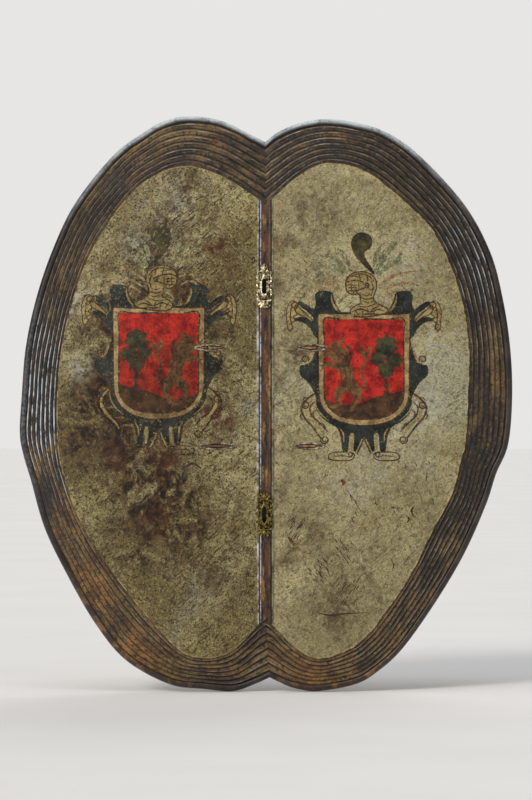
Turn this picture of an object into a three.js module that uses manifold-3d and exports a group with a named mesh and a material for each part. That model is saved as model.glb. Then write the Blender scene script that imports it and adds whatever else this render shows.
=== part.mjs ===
// Two-lobed moulded leather shield with painted face panels, slotted brass plates and laced arm straps.
// Millimetres, +X to the right as the face is seen, +Z up. The face looks towards -Y and the arm side is +Y.
// The origin is the middle of the space between the two arm straps, where the bearer's arm lies.

import * as THREE from 'three';
import { mergeVertices } from 'three/addons/utils/BufferGeometryUtils.js';
import Module from 'manifold-3d';

const wasm = await Module();
wasm.setup();

// Overall outline
const shield_half_width = 334;
const shield_half_height = 389.5;

// Hide plies and what covers them
const back_ply = 4;
const front_ply = 4.6;
const panel_skin = 1.6;
const panel_edge_bead = 0.7;
const spine_bead = 1.5;
const bead_width = 3;
const spine_bead_foot = 4.8;
const spine_bead_side_share = 0.5;
const most_bead_share = 0.12;
const layer_gap = 0.35;

// Depth of the dish, measured forwards from the plane that the back of the rim lies in
const lip_rise = 3;
const border_rise = 24;
const valley_rise = 13;
const crown_rise = 16;

// Moulded ridges of the border
const ridge_count = 7;
const ridge_height = 2;
const ridge_crest_share = 0.4;

// Binding folded over the edge of the plies
const binding_wall = 2.6;
const binding_lip = 8;
const binding_clearance = 0.35;
const binding_seat_start = 1.8;
const binding_seat_end = 6;
const binding_shoulder_share = 0.25;
const binding_middle_share = 0.6;
const binding_front_share = 0.7;
const binding_back_share = 0.1;

// Spine between the two panels
const spine_half_width = 8.4;
const spine_side_clearance = 0.5;
const spine_strip_thickness = 2.2;

// Slotted plates on the spine, and the nails that hold them
const plate_width = 22;
const plate_height = 60;
const plate_thickness = 1.8;
const plate_fan_height = 9;
const plate_fan_half_width = 8;
const plate_scallop = 1.6;
const plate_scallop_count = 6;
const plate_scallop_bulge_share = 0.6;
const plate_offset_x = -1.5;
const upper_plate_z = 157;
const lower_plate_z = -149;
const slot_width = 6.4;
const slot_height = 20;
const backing_width = 20;
const backing_end_margin = 3;
const backing_thickness = 1.5;
const rivet_radius = 1.5;
const rivet_head_radius = 3.2;
const rivet_head_height = 2;
const rivet_burr_radius = 3;
const rivet_burr_height = 1.4;
const rivet_shoulder_share = 0.7;
const rivet_inset = 6;
const rivet_clearance = 0.3;
const seat_gap = 0.3;

// Laces through the plies: where each crosses its strap, sideways from the strap's middle, and how wide
const lace_width = 7;
const lace_thickness = 2.4;
const lace_clearance = 0.35;
const lace_rounding_share = 0.8;
const lace_half_spacing = 66;
const hand_upper_lace_offset = -4;
const hand_upper_lace_span = 39;
const hand_lower_lace_offset = 4;
const hand_lower_lace_span = 46;
const forearm_upper_lace_offset = 2;
const forearm_upper_lace_span = 37;
const forearm_lower_lace_offset = -2;
const forearm_lower_lace_span = 36;

// Anchor patches and strap tabs on the back
const tab_head_half_width = 29;
const tab_head_half_height = 12;
const patch_side_margin = 2;
const patch_end_margin = 5;
const patch_least = 2.4;
const patch_depth = 20;
const strap_width = 28;
const strap_thickness = 3.4;
const tab_flat_length = 13;
const tab_neck_length = 7;
const strap_cut_gap = 0.5;
const swing_axis_offset = 11;
const strap_straight_half = 25.5;

// Forearm strap, left to right across the buckle
const forearm_strap_x = 61;
const forearm_run = 70;
const bow_round_share = 0.85;
const bow_start_angle = 80;
const buckle_bar_z = -2;
const buckle_bar_radius = 1.9;
const buckle_length = 26;
const buckle_side = 3.6;
const buckle_side_clearance = 1.2;
const buckle_end_radius = 2;
const strap_wrap_clearance = 0.5;
const chape_return = 24;
const chape_slot_reach = 7;
const billet_tail = 38;
const billet_hole_top_inset = 1;
const billet_hole_end_inset = 3;
const tongue_side_clearance = 1.2;
const tongue_width = 4.2;
const tongue_thickness = 2.2;
const tongue_eye_wall = 1.7;
const tongue_overhang = 3;
const keeper_rise = 15;
const keeper_height = 9;
const keeper_wall = 2;
const keeper_clearance = 0.5;

// Hand strap and its grip
const hand_strap_x = -69.5;
const hand_run = 58;
const grip_end_clearance = 1.5;
const grip_wall = 4;
const grip_clearance = 0.4;
const grip_rounding = 5;

// Where the bearer's arm lies, measured from the middle of the outline and the rim's back plane
const arm_z = 8.8;
const arm_y = -8;

// Resolution and the overrun of every cutter
const columns_per_side = 36;
const arc_steps = 40;
const round_sides = 10;
const bend_steps = 5;
const scallop_steps = 3;
const grip_steps = 3;
const weld_distance = 0.0001;
const cut_overrun = 60;

// Edge of the shield and edge of its painted panel, as shares of the half width and half height.
// Each row pairs a point of the outline with the point of the panel's edge that lies inwards of it.
const left_edge_shares = [
  [0, 0.909, 0, 0.688],
  [-0.045, 0.928, -0.025, 0.706],
  [-0.176, 0.982, -0.156, 0.778],
  [-0.298, 0.999, -0.276, 0.819],
  [-0.4, 0.985, -0.362, 0.817],
  [-0.489, 0.944, -0.437, 0.793],
  [-0.619, 0.86, -0.53, 0.737],
  [-0.773, 0.693, -0.65, 0.606],
  [-0.866, 0.527, -0.734, 0.467],
  [-0.931, 0.36, -0.79, 0.321],
  [-0.972, 0.193, -0.827, 0.17],
  [-0.988, 0.026, -0.841, 0.02],
  [-0.996, -0.103, -0.841, -0.098],
  [-0.98, -0.183, -0.835, -0.17],
  [-0.951, -0.266, -0.817, -0.244],
  [-0.895, -0.433, -0.757, -0.388],
  [-0.801, -0.6, -0.665, -0.526],
  [-0.688, -0.767, -0.551, -0.66],
  [-0.566, -0.892, -0.443, -0.77],
  [-0.392, -0.975, -0.34, -0.858],
  [-0.249, -0.992, -0.24, -0.881],
  [-0.128, -0.999, -0.135, -0.855],
  [-0.04, -0.974, -0.025, -0.764],
  [0.017, -0.952, 0, -0.747],
];
const right_edge_shares = [
  [0, 0.909, 0, 0.688],
  [0.05, 0.942, 0.025, 0.706],
  [0.135, 0.974, 0.12, 0.78],
  [0.24, 0.989, 0.219, 0.827],
  [0.36, 0.978, 0.323, 0.827],
  [0.489, 0.944, 0.425, 0.793],
  [0.627, 0.86, 0.524, 0.727],
  [0.805, 0.693, 0.665, 0.611],
  [0.911, 0.527, 0.751, 0.47],
  [0.963, 0.36, 0.802, 0.323],
  [0.992, 0.193, 0.823, 0.172],
  [1, 0.026, 0.818, 0.02],
  [0.984, -0.141, 0.809, -0.128],
  [0.935, -0.244, 0.785, -0.21],
  [0.895, -0.349, 0.755, -0.308],
  [0.809, -0.516, 0.668, -0.452],
  [0.695, -0.683, 0.588, -0.59],
  [0.557, -0.85, 0.48, -0.728],
  [0.452, -0.933, 0.404, -0.809],
  [0.363, -0.976, 0.329, -0.855],
  [0.213, -0.999, 0.216, -0.883],
  [0.116, -0.989, 0.126, -0.85],
  [0.055, -0.968, 0.025, -0.764],
  [0.017, -0.952, 0, -0.747],
];

// Stations across the shield: 0 the outline, 1 the panel's edge, 2 the side of the spine, 3 the middle line
const field_stations = [1, 1.25, 1.5, 1.75, 2];

// Materials

function leather(colour, roughness) {
  return new THREE.MeshStandardMaterial({ color: colour, roughness, metalness: 0 });
}

function metal(colour, roughness) {
  return new THREE.MeshStandardMaterial({ color: colour, roughness, metalness: 0.9 });
}

const border_leather = leather(0x4a3b2c, 0.55);
const back_leather = leather(0x6b4a2c, 0.75);
const panel_paint = leather(0x9a8f6c, 0.7);
const spine_leather = leather(0x42261a, 0.6);
const binding_leather = leather(0x3c3027, 0.5);
const lace_leather = leather(0x8a6236, 0.7);
const patch_leather = leather(0x5a3d24, 0.8);
const strap_leather = leather(0x55351e, 0.65);
const grip_leather = leather(0x3a2618, 0.7);
const brass = metal(0xb08a3c, 0.35);
const iron = metal(0x55504a, 0.5);

// The shared grid of the shell

function columnsOf(shares, side) {
  const outer_points = shares.map(([x, z]) => new THREE.Vector3(
    x * shield_half_width, 0, z * shield_half_height));
  const inner_points = shares.map(([, , x, z]) => new THREE.Vector3(
    x * shield_half_width, 0, z * shield_half_height));
  const last = shares.length - 1;
  inner_points[1].x = side * spine_half_width;
  inner_points[last - 1].x = side * spine_half_width;
  const outer = new THREE.CatmullRomCurve3(outer_points, false, 'catmullrom', 0.5);
  const inner = new THREE.CatmullRomCurve3(inner_points, false, 'catmullrom', 0.5);
  const divisions = last * arc_steps;
  outer.arcLengthDivisions = divisions;
  const lengths = outer.getLengths(divisions);
  const first_share = lengths[divisions / last] / lengths[divisions];
  const final_share = lengths[divisions - divisions / last] / lengths[divisions];
  const columns = [];
  for (let i = 0; i <= columns_per_side; i += 1) {
    const along = (i - 1) / (columns_per_side - 2);
    const arc = THREE.MathUtils.lerp(first_share, final_share, along);
    let t = outer.getUtoTmapping(THREE.MathUtils.clamp(arc, 0, 1));
    if (i === 0) t = 0;
    if (i === 1) t = 1 / last;
    if (i === columns_per_side - 1) t = 1 - 1 / last;
    if (i === columns_per_side) t = 1;
    const outside = outer.getPoint(t);
    const inside = inner.getPoint(t);
    const end = i === 0 || i === columns_per_side;
    const core_z = THREE.MathUtils.lerp(inner_points[1].z, inner_points[last - 1].z, along);
    const core = end ? inside : new THREE.Vector3(side * spine_half_width, 0, core_z);
    const middle = new THREE.Vector3(0, 0, core_z);
    if (i <= 1) middle.copy(inner_points[0]);
    if (i >= columns_per_side - 1) middle.copy(inner_points[last]);
    columns.push({
      outside,
      inside,
      core,
      middle,
      dome: end ? 0 : 1 - (2 * along - 1) ** 2,
      border: outside.distanceTo(inside),
      field: inside.distanceTo(core),
    });
  }
  return columns;
}

const halves = [columnsOf(left_edge_shares, -1), columnsOf(right_edge_shares, 1)];

function gridPoint(column, station) {
  const stops = [column.outside, column.inside, column.core, column.middle];
  const from = Math.min(Math.floor(station), 2);
  return stops[from].clone().lerp(stops[from + 1], station - from);
}

// Height of the shell's back surface above the rim's back plane
function shellHeight(column, station) {
  if (station <= 1) return lip_rise + border_rise * station;
  const across = Math.min(station, 2) - 1;
  const valley = valley_rise * column.dome * across;
  const crown = crown_rise * column.dome * 4 * across * (1 - across);
  return lip_rise + border_rise + valley + crown;
}

// A station may be a number, or a function of the column for places given in millimetres
function stationValue(station, column) {
  return typeof station === 'function' ? station(column) : station;
}

function fromOutline(distance) {
  return (column) => distance / column.border;
}

function gridSurface(stations, height, first, last, towards) {
  const triangles = [];
  for (const columns of halves) {
    const vertex = (i, k) => {
      const column = columns[i];
      const station = stationValue(stations[k], column);
      const point = gridPoint(column, station);
      point.y = -height(column, station, k);
      return point;
    };
    for (let i = first; i < last; i += 1) {
      for (let k = 0; k < stations.length - 1; k += 1) {
        const [a, b, c, d] = [vertex(i, k), vertex(i + 1, k), vertex(i + 1, k + 1), vertex(i, k + 1)];
        triangles.push([a, b, c], [a, c, d]);
      }
    }
  }
  const kept = triangles.filter((corners) => new Set(corners.map(planKey)).size === 3);
  return kept.map((corners) => (facesAway(corners, towards) ? [...corners].reverse() : corners));
}

function planKey(point) {
  const steps_per_mm = 10000;
  return `${Math.round(point.x * steps_per_mm)},${Math.round(point.z * steps_per_mm)}`;
}

function facesAway([a, b, c], towards) {
  const normal = b.clone().sub(a).cross(c.clone().sub(a));
  return normal.y * towards < 0;
}

// Walls join the open edges of the front surface to the same places on the back surface
function wallsBetween(front, back) {
  const back_points = new Map(back.flat().map((point) => [planKey(point), point]));
  const edges = new Map();
  for (const corners of front) {
    corners.forEach((from, n) => {
      const to = corners[(n + 1) % 3];
      const key = `${planKey(from)}>${planKey(to)}`;
      const other = `${planKey(to)}>${planKey(from)}`;
      if (edges.has(other)) edges.delete(other);
      else edges.set(key, [from, to]);
    });
  }
  const walls = [];
  for (const [from, to] of edges.values()) {
    const from_back = back_points.get(planKey(from));
    const to_back = back_points.get(planKey(to));
    walls.push([to, from, from_back], [to, from_back, to_back]);
  }
  return walls;
}

function geometryOf(triangles) {
  const geometry = new THREE.BufferGeometry();
  geometry.setAttribute('position', new THREE.Float32BufferAttribute(
    triangles.flat().flatMap((point) => [point.x, point.y, point.z]), 3));
  return geometry;
}

function gridLayer({ back_stations, front_stations, back_height, front_height, first, last }) {
  const front = gridSurface(front_stations, front_height, first, last, -1);
  const back = gridSurface(back_stations, back_height, first, last, 1);
  return geometryOf([...front, ...back, ...wallsBetween(front, back)]);
}

// Solids for cuts and joins

function solidOf(geometry, matrix) {
  const bare = geometry.index ? geometry.toNonIndexed() : geometry.clone();
  bare.deleteAttribute('normal');
  bare.deleteAttribute('uv');
  if (matrix) bare.applyMatrix4(matrix);
  const merged = mergeVertices(bare, weld_distance);
  return new wasm.Manifold(new wasm.Mesh({
    numProp: 3,
    vertProperties: Float32Array.from(merged.attributes.position.array),
    triVerts: Uint32Array.from(merged.index.array),
  }));
}

function geometryFrom(solid) {
  const mesh = solid.getMesh();
  const geometry = new THREE.BufferGeometry();
  geometry.setAttribute('position', new THREE.BufferAttribute(Float32Array.from(mesh.vertProperties), 3));
  geometry.setIndex(new THREE.BufferAttribute(Uint32Array.from(mesh.triVerts), 1));
  return geometry;
}

function cutFrom(geometry, cutters, matrix) {
  let solid = solidOf(geometry, matrix);
  for (const cutter of cutters) solid = solid.subtract(cutter);
  if (matrix) solid = solidOf(geometryFrom(solid), matrix.clone().invert());
  return geometryFrom(solid);
}

function boxBetween(low, high) {
  const size = high.clone().sub(low);
  const geometry = new THREE.BoxGeometry(size.x, size.y, size.z);
  const middle = low.clone().add(high).divideScalar(2);
  return geometry.translate(middle.x, middle.y, middle.z);
}

function named(name, geometry, material) {
  const mesh = new THREE.Mesh(geometry, material);
  mesh.name = name;
  return mesh;
}

// Height of the shell's back surface over any place on the shield

const shell_triangles = gridSurface(
  [0, ...field_stations, 3], shellHeight, 0, columns_per_side, -1);

function shellHeightAt(x, z) {
  const place = new THREE.Vector3(x, 0, z);
  const found = new THREE.Vector3();
  for (const corners of shell_triangles) {
    const flat = corners.map((point) => new THREE.Vector3(point.x, 0, point.z));
    const triangle = new THREE.Triangle(...flat);
    if (triangle.containsPoint(place)) {
      triangle.getBarycoord(place, found);
      return -(corners[0].y * found.x + corners[1].y * found.y + corners[2].y * found.z);
    }
  }
  return lip_rise;
}

const plies = back_ply + layer_gap + front_ply;
const patch_half_width = tab_head_half_width + patch_side_margin;
const patch_half_height = tab_head_half_height + patch_end_margin;
const edge_inset = binding_wall + binding_clearance;
const ply_stations = [fromOutline(edge_inset), fromOutline(binding_lip), ...field_stations, 3];

// Slotted plate places on the spine: each has its own group, tilted to the line of the spine

const rivet_reach = plate_height / 2 - rivet_inset;
const backing_height = plate_height + 2 * backing_end_margin;

function spineGroup(z) {
  const half = backing_height / 2;
  const top = shellHeightAt(0, z + half);
  const bottom = shellHeightAt(0, z - half);
  const group = new THREE.Group();
  group.position.set(plate_offset_x, -shellHeightAt(0, z), z);
  group.rotation.x = Math.atan2(top - bottom, backing_height);
  group.updateMatrix();
  return group;
}

const plate_groups = [
  { place: 'upper', group: spineGroup(upper_plate_z) },
  { place: 'lower', group: spineGroup(lower_plate_z) },
];

function slotCutter(group) {
  const geometry = boxBetween(
    new THREE.Vector3(-slot_width / 2, -cut_overrun, -slot_height / 2),
    new THREE.Vector3(slot_width / 2, cut_overrun, slot_height / 2));
  return solidOf(geometry, group.matrix);
}

function rivetCutter(group, side) {
  const radius = rivet_radius + rivet_clearance;
  const geometry = new THREE.CylinderGeometry(radius, radius, 2 * cut_overrun, round_sides);
  geometry.translate(0, 0, side * rivet_reach);
  return solidOf(geometry, group.matrix);
}

const rivet_cutters = plate_groups.flatMap(({ group }) => [
  rivetCutter(group, 1), rivetCutter(group, -1)]);
const plate_cutters = [...rivet_cutters, ...plate_groups.map(({ group }) => slotCutter(group))];

// Strap places on the back: each strap's group stands square to the shell at the strap

function strapGroup(x) {
  const across = 2 * patch_half_width;
  const slope = shellHeightAt(x + patch_half_width, arm_z) - shellHeightAt(x - patch_half_width, arm_z);
  const group = new THREE.Group();
  group.rotation.z = Math.atan2(-slope, across);
  group.position.set(x, 0, arm_z);
  group.updateMatrix();
  let rearmost = -Infinity;
  for (const z of [lace_half_spacing, -lace_half_spacing]) {
    for (const dx of [-patch_half_width, patch_half_width]) {
      for (const dz of [-patch_half_height, patch_half_height]) {
        const corner = new THREE.Vector3(dx, 0, z + dz).applyMatrix4(group.matrix);
        rearmost = Math.max(rearmost, -shellHeightAt(corner.x, corner.z) - corner.y);
      }
    }
  }
  group.position.y = rearmost + patch_least;
  group.updateMatrix();
  return group;
}

const hand_group = strapGroup(hand_strap_x);
const forearm_group = strapGroup(forearm_strap_x);

const lace_places = [
  { owner: 'hand', end: 'upper', group: hand_group, x: hand_upper_lace_offset,
    z: lace_half_spacing, span: hand_upper_lace_span },
  { owner: 'hand', end: 'lower', group: hand_group, x: hand_lower_lace_offset,
    z: -lace_half_spacing, span: hand_lower_lace_span },
  { owner: 'forearm', end: 'upper', group: forearm_group, x: forearm_upper_lace_offset,
    z: lace_half_spacing, span: forearm_upper_lace_span },
  { owner: 'forearm', end: 'lower', group: forearm_group, x: forearm_lower_lace_offset,
    z: -lace_half_spacing, span: forearm_lower_lace_span },
];

function laceLegCutters(place) {
  const leg_middle = (place.span - lace_thickness) / 2;
  const half_thickness = lace_thickness / 2 + lace_clearance;
  const half_width = lace_width / 2 + lace_clearance;
  return [-1, 1].map((side) => boxBetween(
    new THREE.Vector3(place.x + side * leg_middle - half_thickness, -cut_overrun, place.z - half_width),
    new THREE.Vector3(place.x + side * leg_middle + half_thickness, cut_overrun, place.z + half_width)));
}

const lace_cutters = lace_places.flatMap((place) => laceLegCutters(place)
  .map((geometry) => solidOf(geometry, place.group.matrix)));

// Shell layers

function backHide() {
  const geometry = gridLayer({
    back_stations: ply_stations,
    front_stations: ply_stations,
    back_height: shellHeight,
    front_height: (column, station) => shellHeight(column, station) + back_ply,
    first: 0,
    last: columns_per_side,
  });
  return named('back_hide', cutFrom(geometry, [...plate_cutters, ...lace_cutters]), back_leather);
}

function ridgeStations() {
  const stations = [fromOutline(edge_inset)];
  for (let n = 0; n < ridge_count; n += 1) {
    for (const share of [0, ridge_crest_share]) {
      stations.push((column) => {
        const start = (binding_lip + binding_clearance) / column.border;
        return start + (1 - start) * (n + share) / ridge_count;
      });
    }
  }
  return stations;
}

function frontHide() {
  const ridges = ridgeStations();
  const front_stations = [...ridges, ...field_stations, 3];
  const isCrest = (k) => k > 0 && k < ridges.length && k % 2 === 0;
  const geometry = gridLayer({
    back_stations: ply_stations,
    front_stations,
    back_height: (column, station) => shellHeight(column, station) + back_ply + layer_gap,
    front_height: (column, station, k) => shellHeight(column, station) + plies
      + (isCrest(k) ? ridge_height : 0),
    first: 0,
    last: columns_per_side,
  });
  return named('front_hide', cutFrom(geometry, [...plate_cutters, ...lace_cutters]), border_leather);
}

const panel_base = plies + layer_gap;

function facePanels() {
  const share = (length, column) => Math.min(
    length / Math.max(column.field, length), most_bead_share * length / bead_width);
  const front_stations = [
    1,
    (column) => 1 + share(bead_width, column),
    ...field_stations.slice(1, -1),
    (column) => 2 - share(spine_bead_foot, column),
    (column) => 2 - share(bead_width, column) / 2,
    2,
  ];
  const bead_side = spine_bead * spine_bead_side_share;
  const raised_by = [panel_edge_bead, 0, 0, 0, 0, 0, spine_bead, bead_side];
  const geometry = gridLayer({
    back_stations: field_stations,
    front_stations,
    back_height: (column, station) => shellHeight(column, station) + panel_base,
    front_height: (column, station, k) => shellHeight(column, station) + panel_base + panel_skin
      + (column.field > 0 ? raised_by[k] : panel_edge_bead),
    first: 1,
    last: columns_per_side - 1,
  });
  const both = solidOf(geometry).decompose();
  both.sort((a, b) => a.boundingBox().min[0] - b.boundingBox().min[0]);
  const cutters = [...plate_cutters, ...lace_cutters];
  return ['left_face_panel', 'right_face_panel'].map((name, n) => named(
    name, cutFrom(geometryFrom(both[n]), cutters), panel_paint));
}

function spineStrip() {
  const half = spine_half_width - spine_side_clearance;
  const inset = half / spine_half_width;
  const stations = [3 - inset, 3];
  const height = (column, station) => shellHeight(column, station) + panel_base;
  const geometry = gridLayer({
    back_stations: stations,
    front_stations: stations,
    back_height: height,
    front_height: (column, station) => height(column, station) + spine_strip_thickness,
    first: 1,
    last: columns_per_side - 1,
  });
  return named('spine_strip', cutFrom(geometry, plate_cutters), spine_leather);
}

function rimBinding() {
  const base = (column, distance) => shellHeight(column, distance / column.border);
  const over = plies + binding_clearance;
  const middle = binding_lip * binding_middle_share;
  const shoulder = binding_lip * binding_shoulder_share;
  const section = [
    (column) => [binding_lip, base(column, binding_lip) + over + binding_wall / 2],
    (column) => [middle, base(column, middle) + over + binding_wall],
    (column) => [shoulder, base(column, 0) + over + binding_wall],
    () => [0, lip_rise + plies * binding_front_share],
    () => [0, lip_rise + plies * binding_back_share],
    () => [binding_seat_start, 0],
    () => [binding_seat_end, 0],
    (column) => [binding_lip, base(column, binding_lip) - binding_clearance - binding_wall / 2],
    (column) => [binding_lip, base(column, binding_lip) - binding_clearance],
    (column) => [binding_wall, base(column, binding_wall) - binding_clearance],
    (column) => [binding_wall, base(column, binding_wall) + over],
    (column) => [binding_lip, base(column, binding_lip) + over],
  ];
  const ring = [
    ...halves[0].slice(0, -1),
    ...halves[1].slice(1).reverse(),
  ];
  const points = ring.map((column) => section.map((corner) => {
    const [distance, height] = corner(column);
    const point = gridPoint(column, distance / column.border);
    point.y = -height;
    return point;
  }));
  const triangles = [];
  points.forEach((here, i) => {
    const next = points[(i + 1) % points.length];
    here.forEach((a, k) => {
      const n = (k + 1) % here.length;
      triangles.push([a, next[k], next[n]], [a, next[n], here[n]]);
    });
  });
  return named('rim_binding', geometryOf(outward(triangles)), binding_leather);
}

function outward(triangles) {
  let volume = 0;
  for (const [a, b, c] of triangles) volume += a.dot(b.clone().cross(c));
  return volume < 0 ? triangles.map((corners) => [...corners].reverse()) : triangles;
}

// Slotted plates, their backing plates and rivets, in the plate's own group

const bead_top = panel_base + panel_skin + spine_bead;
const plate_front_base = bead_top + seat_gap;

// A plate with a row of small lobes down each side and a round fan at each end
function plateShape() {
  const shape = new THREE.Shape();
  const side = plate_width / 2;
  const waist = side - plate_scallop;
  const lobe = side + plate_scallop * plate_scallop_bulge_share;
  const body = plate_height / 2 - plate_fan_height;
  const step = 2 * body / plate_scallop_count;
  shape.moveTo(plate_fan_half_width, -body);
  shape.lineTo(waist, -body);
  for (let n = 0; n < plate_scallop_count; n += 1) {
    const start = -body + n * step;
    shape.quadraticCurveTo(lobe, start + step / 2, waist, start + step);
  }
  shape.lineTo(plate_fan_half_width, body);
  shape.absellipse(0, body, plate_fan_half_width, plate_fan_height, 0, Math.PI, false);
  shape.lineTo(-waist, body);
  for (let n = 0; n < plate_scallop_count; n += 1) {
    const start = body - n * step;
    shape.quadraticCurveTo(-lobe, start - step / 2, -waist, start - step);
  }
  shape.lineTo(-plate_fan_half_width, -body);
  shape.absellipse(0, -body, plate_fan_half_width, plate_fan_height, Math.PI, 2 * Math.PI, false);
  return shape;
}

// Turns a shape drawn across and up into a slab that reaches from the front depth back by its thickness
function slab(shape, thickness, front_y) {
  const geometry = new THREE.ExtrudeGeometry(shape, {
    depth: thickness, bevelEnabled: false, curveSegments: scallop_steps });
  geometry.rotateX(Math.PI / 2);
  geometry.translate(0, front_y + thickness, 0);
  return geometry;
}

function slotPlate(place, group) {
  const front_y = -(plate_front_base + plate_thickness);
  const geometry = cutFrom(
    slab(plateShape(), plate_thickness, front_y), plate_cutters, group.matrix);
  return named(`${place}_slot_plate`, geometry, brass);
}

// The backing plate has no slot, so it closes the plate's slot at the back
function backingPlate(place, group) {
  const geometry = boxBetween(
    new THREE.Vector3(-backing_width / 2, seat_gap, -backing_height / 2),
    new THREE.Vector3(backing_width / 2, seat_gap + backing_thickness, backing_height / 2));
  return named(`${place}_backing_plate`, cutFrom(geometry, rivet_cutters, group.matrix), iron);
}

function plateRivet(name, side) {
  const front = -(plate_front_base + plate_thickness + seat_gap);
  const back = backing_thickness + 2 * seat_gap;
  const profile = [
    new THREE.Vector2(0, front - rivet_head_height),
    new THREE.Vector2(rivet_head_radius * rivet_shoulder_share,
      front - rivet_head_height * rivet_shoulder_share),
    new THREE.Vector2(rivet_head_radius, front),
    new THREE.Vector2(rivet_radius, front),
    new THREE.Vector2(rivet_radius, back),
    new THREE.Vector2(rivet_burr_radius, back),
    new THREE.Vector2(rivet_burr_radius * rivet_shoulder_share, back + rivet_burr_height),
    new THREE.Vector2(0, back + rivet_burr_height),
  ];
  const rivet = named(name, new THREE.LatheGeometry(profile, round_sides), brass);
  rivet.position.z = side * rivet_reach;
  return rivet;
}

// Anchor patches, strap tabs and laces, in the strap's own group.
// In that group y = 0 is the patches' rear face and the strap's tabs lie just behind it.

function spaceInFrontOfShell() {
  const stations = [0, ...field_stations, 3];
  return solidOf(gridLayer({
    back_stations: stations,
    front_stations: stations,
    back_height: (column, station) => shellHeight(column, station) - seat_gap,
    front_height: (column, station) => shellHeight(column, station) + cut_overrun,
    first: 0,
    last: columns_per_side,
  }));
}

const shell_space = spaceInFrontOfShell();

function anchorPatch(place) {
  const geometry = boxBetween(
    new THREE.Vector3(-patch_half_width, -patch_depth, place.z - patch_half_height),
    new THREE.Vector3(patch_half_width, 0, place.z + patch_half_height));
  const cut = cutFrom(geometry, [shell_space, ...lace_cutters], place.group.matrix);
  return named(`${place.owner}_${place.end}_patch`, cut, patch_leather);
}

// A strap seen from its edge: a line of points, thickened, then widened across the strap
function strapFrom(line, width, flat_start, flat_end) {
  const half = strap_thickness / 2;
  const offsets = line.map((point, n) => {
    const before = line[Math.max(n - 1, 0)];
    const after = line[Math.min(n + 1, line.length - 1)];
    const along = after.clone().sub(before).normalize();
    if ((n === 0 && flat_start) || (n === line.length - 1 && flat_end)) {
      return new THREE.Vector2(-half / along.y, 0);
    }
    return new THREE.Vector2(-along.y, along.x).multiplyScalar(half);
  });
  const shape = new THREE.Shape([
    ...line.map((point, n) => point.clone().add(offsets[n])),
    ...line.map((point, n) => point.clone().sub(offsets[n])).reverse(),
  ]);
  const geometry = new THREE.ExtrudeGeometry(shape, { depth: width, bevelEnabled: false });
  geometry.translate(0, 0, -width / 2);
  const upright = new THREE.Matrix4().makeBasis(
    new THREE.Vector3(0, 1, 0), new THREE.Vector3(0, 0, 1), new THREE.Vector3(1, 0, 0));
  return geometry.applyMatrix4(upright);
}

function arcPoints(centre, radius, from, to) {
  const points = [];
  for (let n = 0; n <= bend_steps; n += 1) {
    const angle = THREE.MathUtils.degToRad(from + (to - from) * n / bend_steps);
    points.push(new THREE.Vector2(
      centre.x + radius * Math.cos(angle), centre.y + radius * Math.sin(angle)));
  }
  return points;
}

const tab_middle = seat_gap + strap_thickness / 2;
const tab_flat_end_z = lace_half_spacing - tab_flat_length;
const tab_cut_z = tab_flat_end_z - tab_neck_length;

function strapTab(place) {
  const up = Math.sign(place.z);
  const head_top = Math.abs(place.z) + tab_head_half_height;
  const line = [
    new THREE.Vector2(tab_middle, up * head_top),
    new THREE.Vector2(tab_middle, up * (tab_flat_end_z + strap_thickness)),
    new THREE.Vector2((2 * tab_middle + swing_axis_offset) / 3, up * tab_flat_end_z),
    new THREE.Vector2(swing_axis_offset, up * tab_cut_z),
  ];
  const neck = strapFrom(line, strap_width, false, true);
  const head = boxBetween(
    new THREE.Vector3(-tab_head_half_width, seat_gap, place.z - tab_head_half_height),
    new THREE.Vector3(tab_head_half_width, seat_gap + strap_thickness, place.z + tab_head_half_height));
  const whole = geometryFrom(solidOf(neck).add(solidOf(head)));
  const geometry = cutFrom(whole, lace_cutters, place.group.matrix);
  return named(`${place.owner}_${place.end}_tab`, geometry, strap_leather);
}

// Depth, in the strap's group, of the panel's face at the lace's most forward place
function laceFrontDepth(place) {
  const inverse = place.group.matrix.clone().invert();
  const half = place.span / 2;
  const depths = [-half, 0, half].map((dx) => {
    const spot = new THREE.Vector3(place.x + dx, 0, place.z).applyMatrix4(place.group.matrix);
    const height = shellHeightAt(spot.x, spot.z) + panel_base + panel_skin;
    return new THREE.Vector3(spot.x, -height, spot.z).applyMatrix4(inverse).y;
  });
  return Math.min(...depths) - 2 * seat_gap;
}

function lace(place) {
  const front = laceFrontDepth(place);
  const back = seat_gap + strap_thickness + seat_gap;
  const half = place.span / 2;
  const rounding = lace_thickness * lace_rounding_share;
  const loop = new THREE.Shape([
    new THREE.Vector2(-half, front - lace_thickness + rounding),
    new THREE.Vector2(-half + rounding, front - lace_thickness),
    new THREE.Vector2(half - rounding, front - lace_thickness),
    new THREE.Vector2(half, front - lace_thickness + rounding),
    new THREE.Vector2(half, back + lace_thickness - rounding),
    new THREE.Vector2(half - rounding, back + lace_thickness),
    new THREE.Vector2(-half + rounding, back + lace_thickness),
    new THREE.Vector2(-half, back + lace_thickness - rounding),
  ]);
  const inside = half - lace_thickness;
  loop.holes.push(new THREE.Path([
    new THREE.Vector2(-inside, front),
    new THREE.Vector2(-inside, back),
    new THREE.Vector2(inside, back),
    new THREE.Vector2(inside, front),
  ]));
  const geometry = new THREE.ExtrudeGeometry(loop, { depth: lace_width, bevelEnabled: false });
  geometry.translate(0, 0, -lace_width / 2);
  const mesh = named(`${place.owner}_${place.end}_lace`, geometry, lace_leather);
  mesh.position.set(place.x, 0, place.z);
  return mesh;
}

// Forearm strap: chape above, billet below, buckled on the outer run

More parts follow.
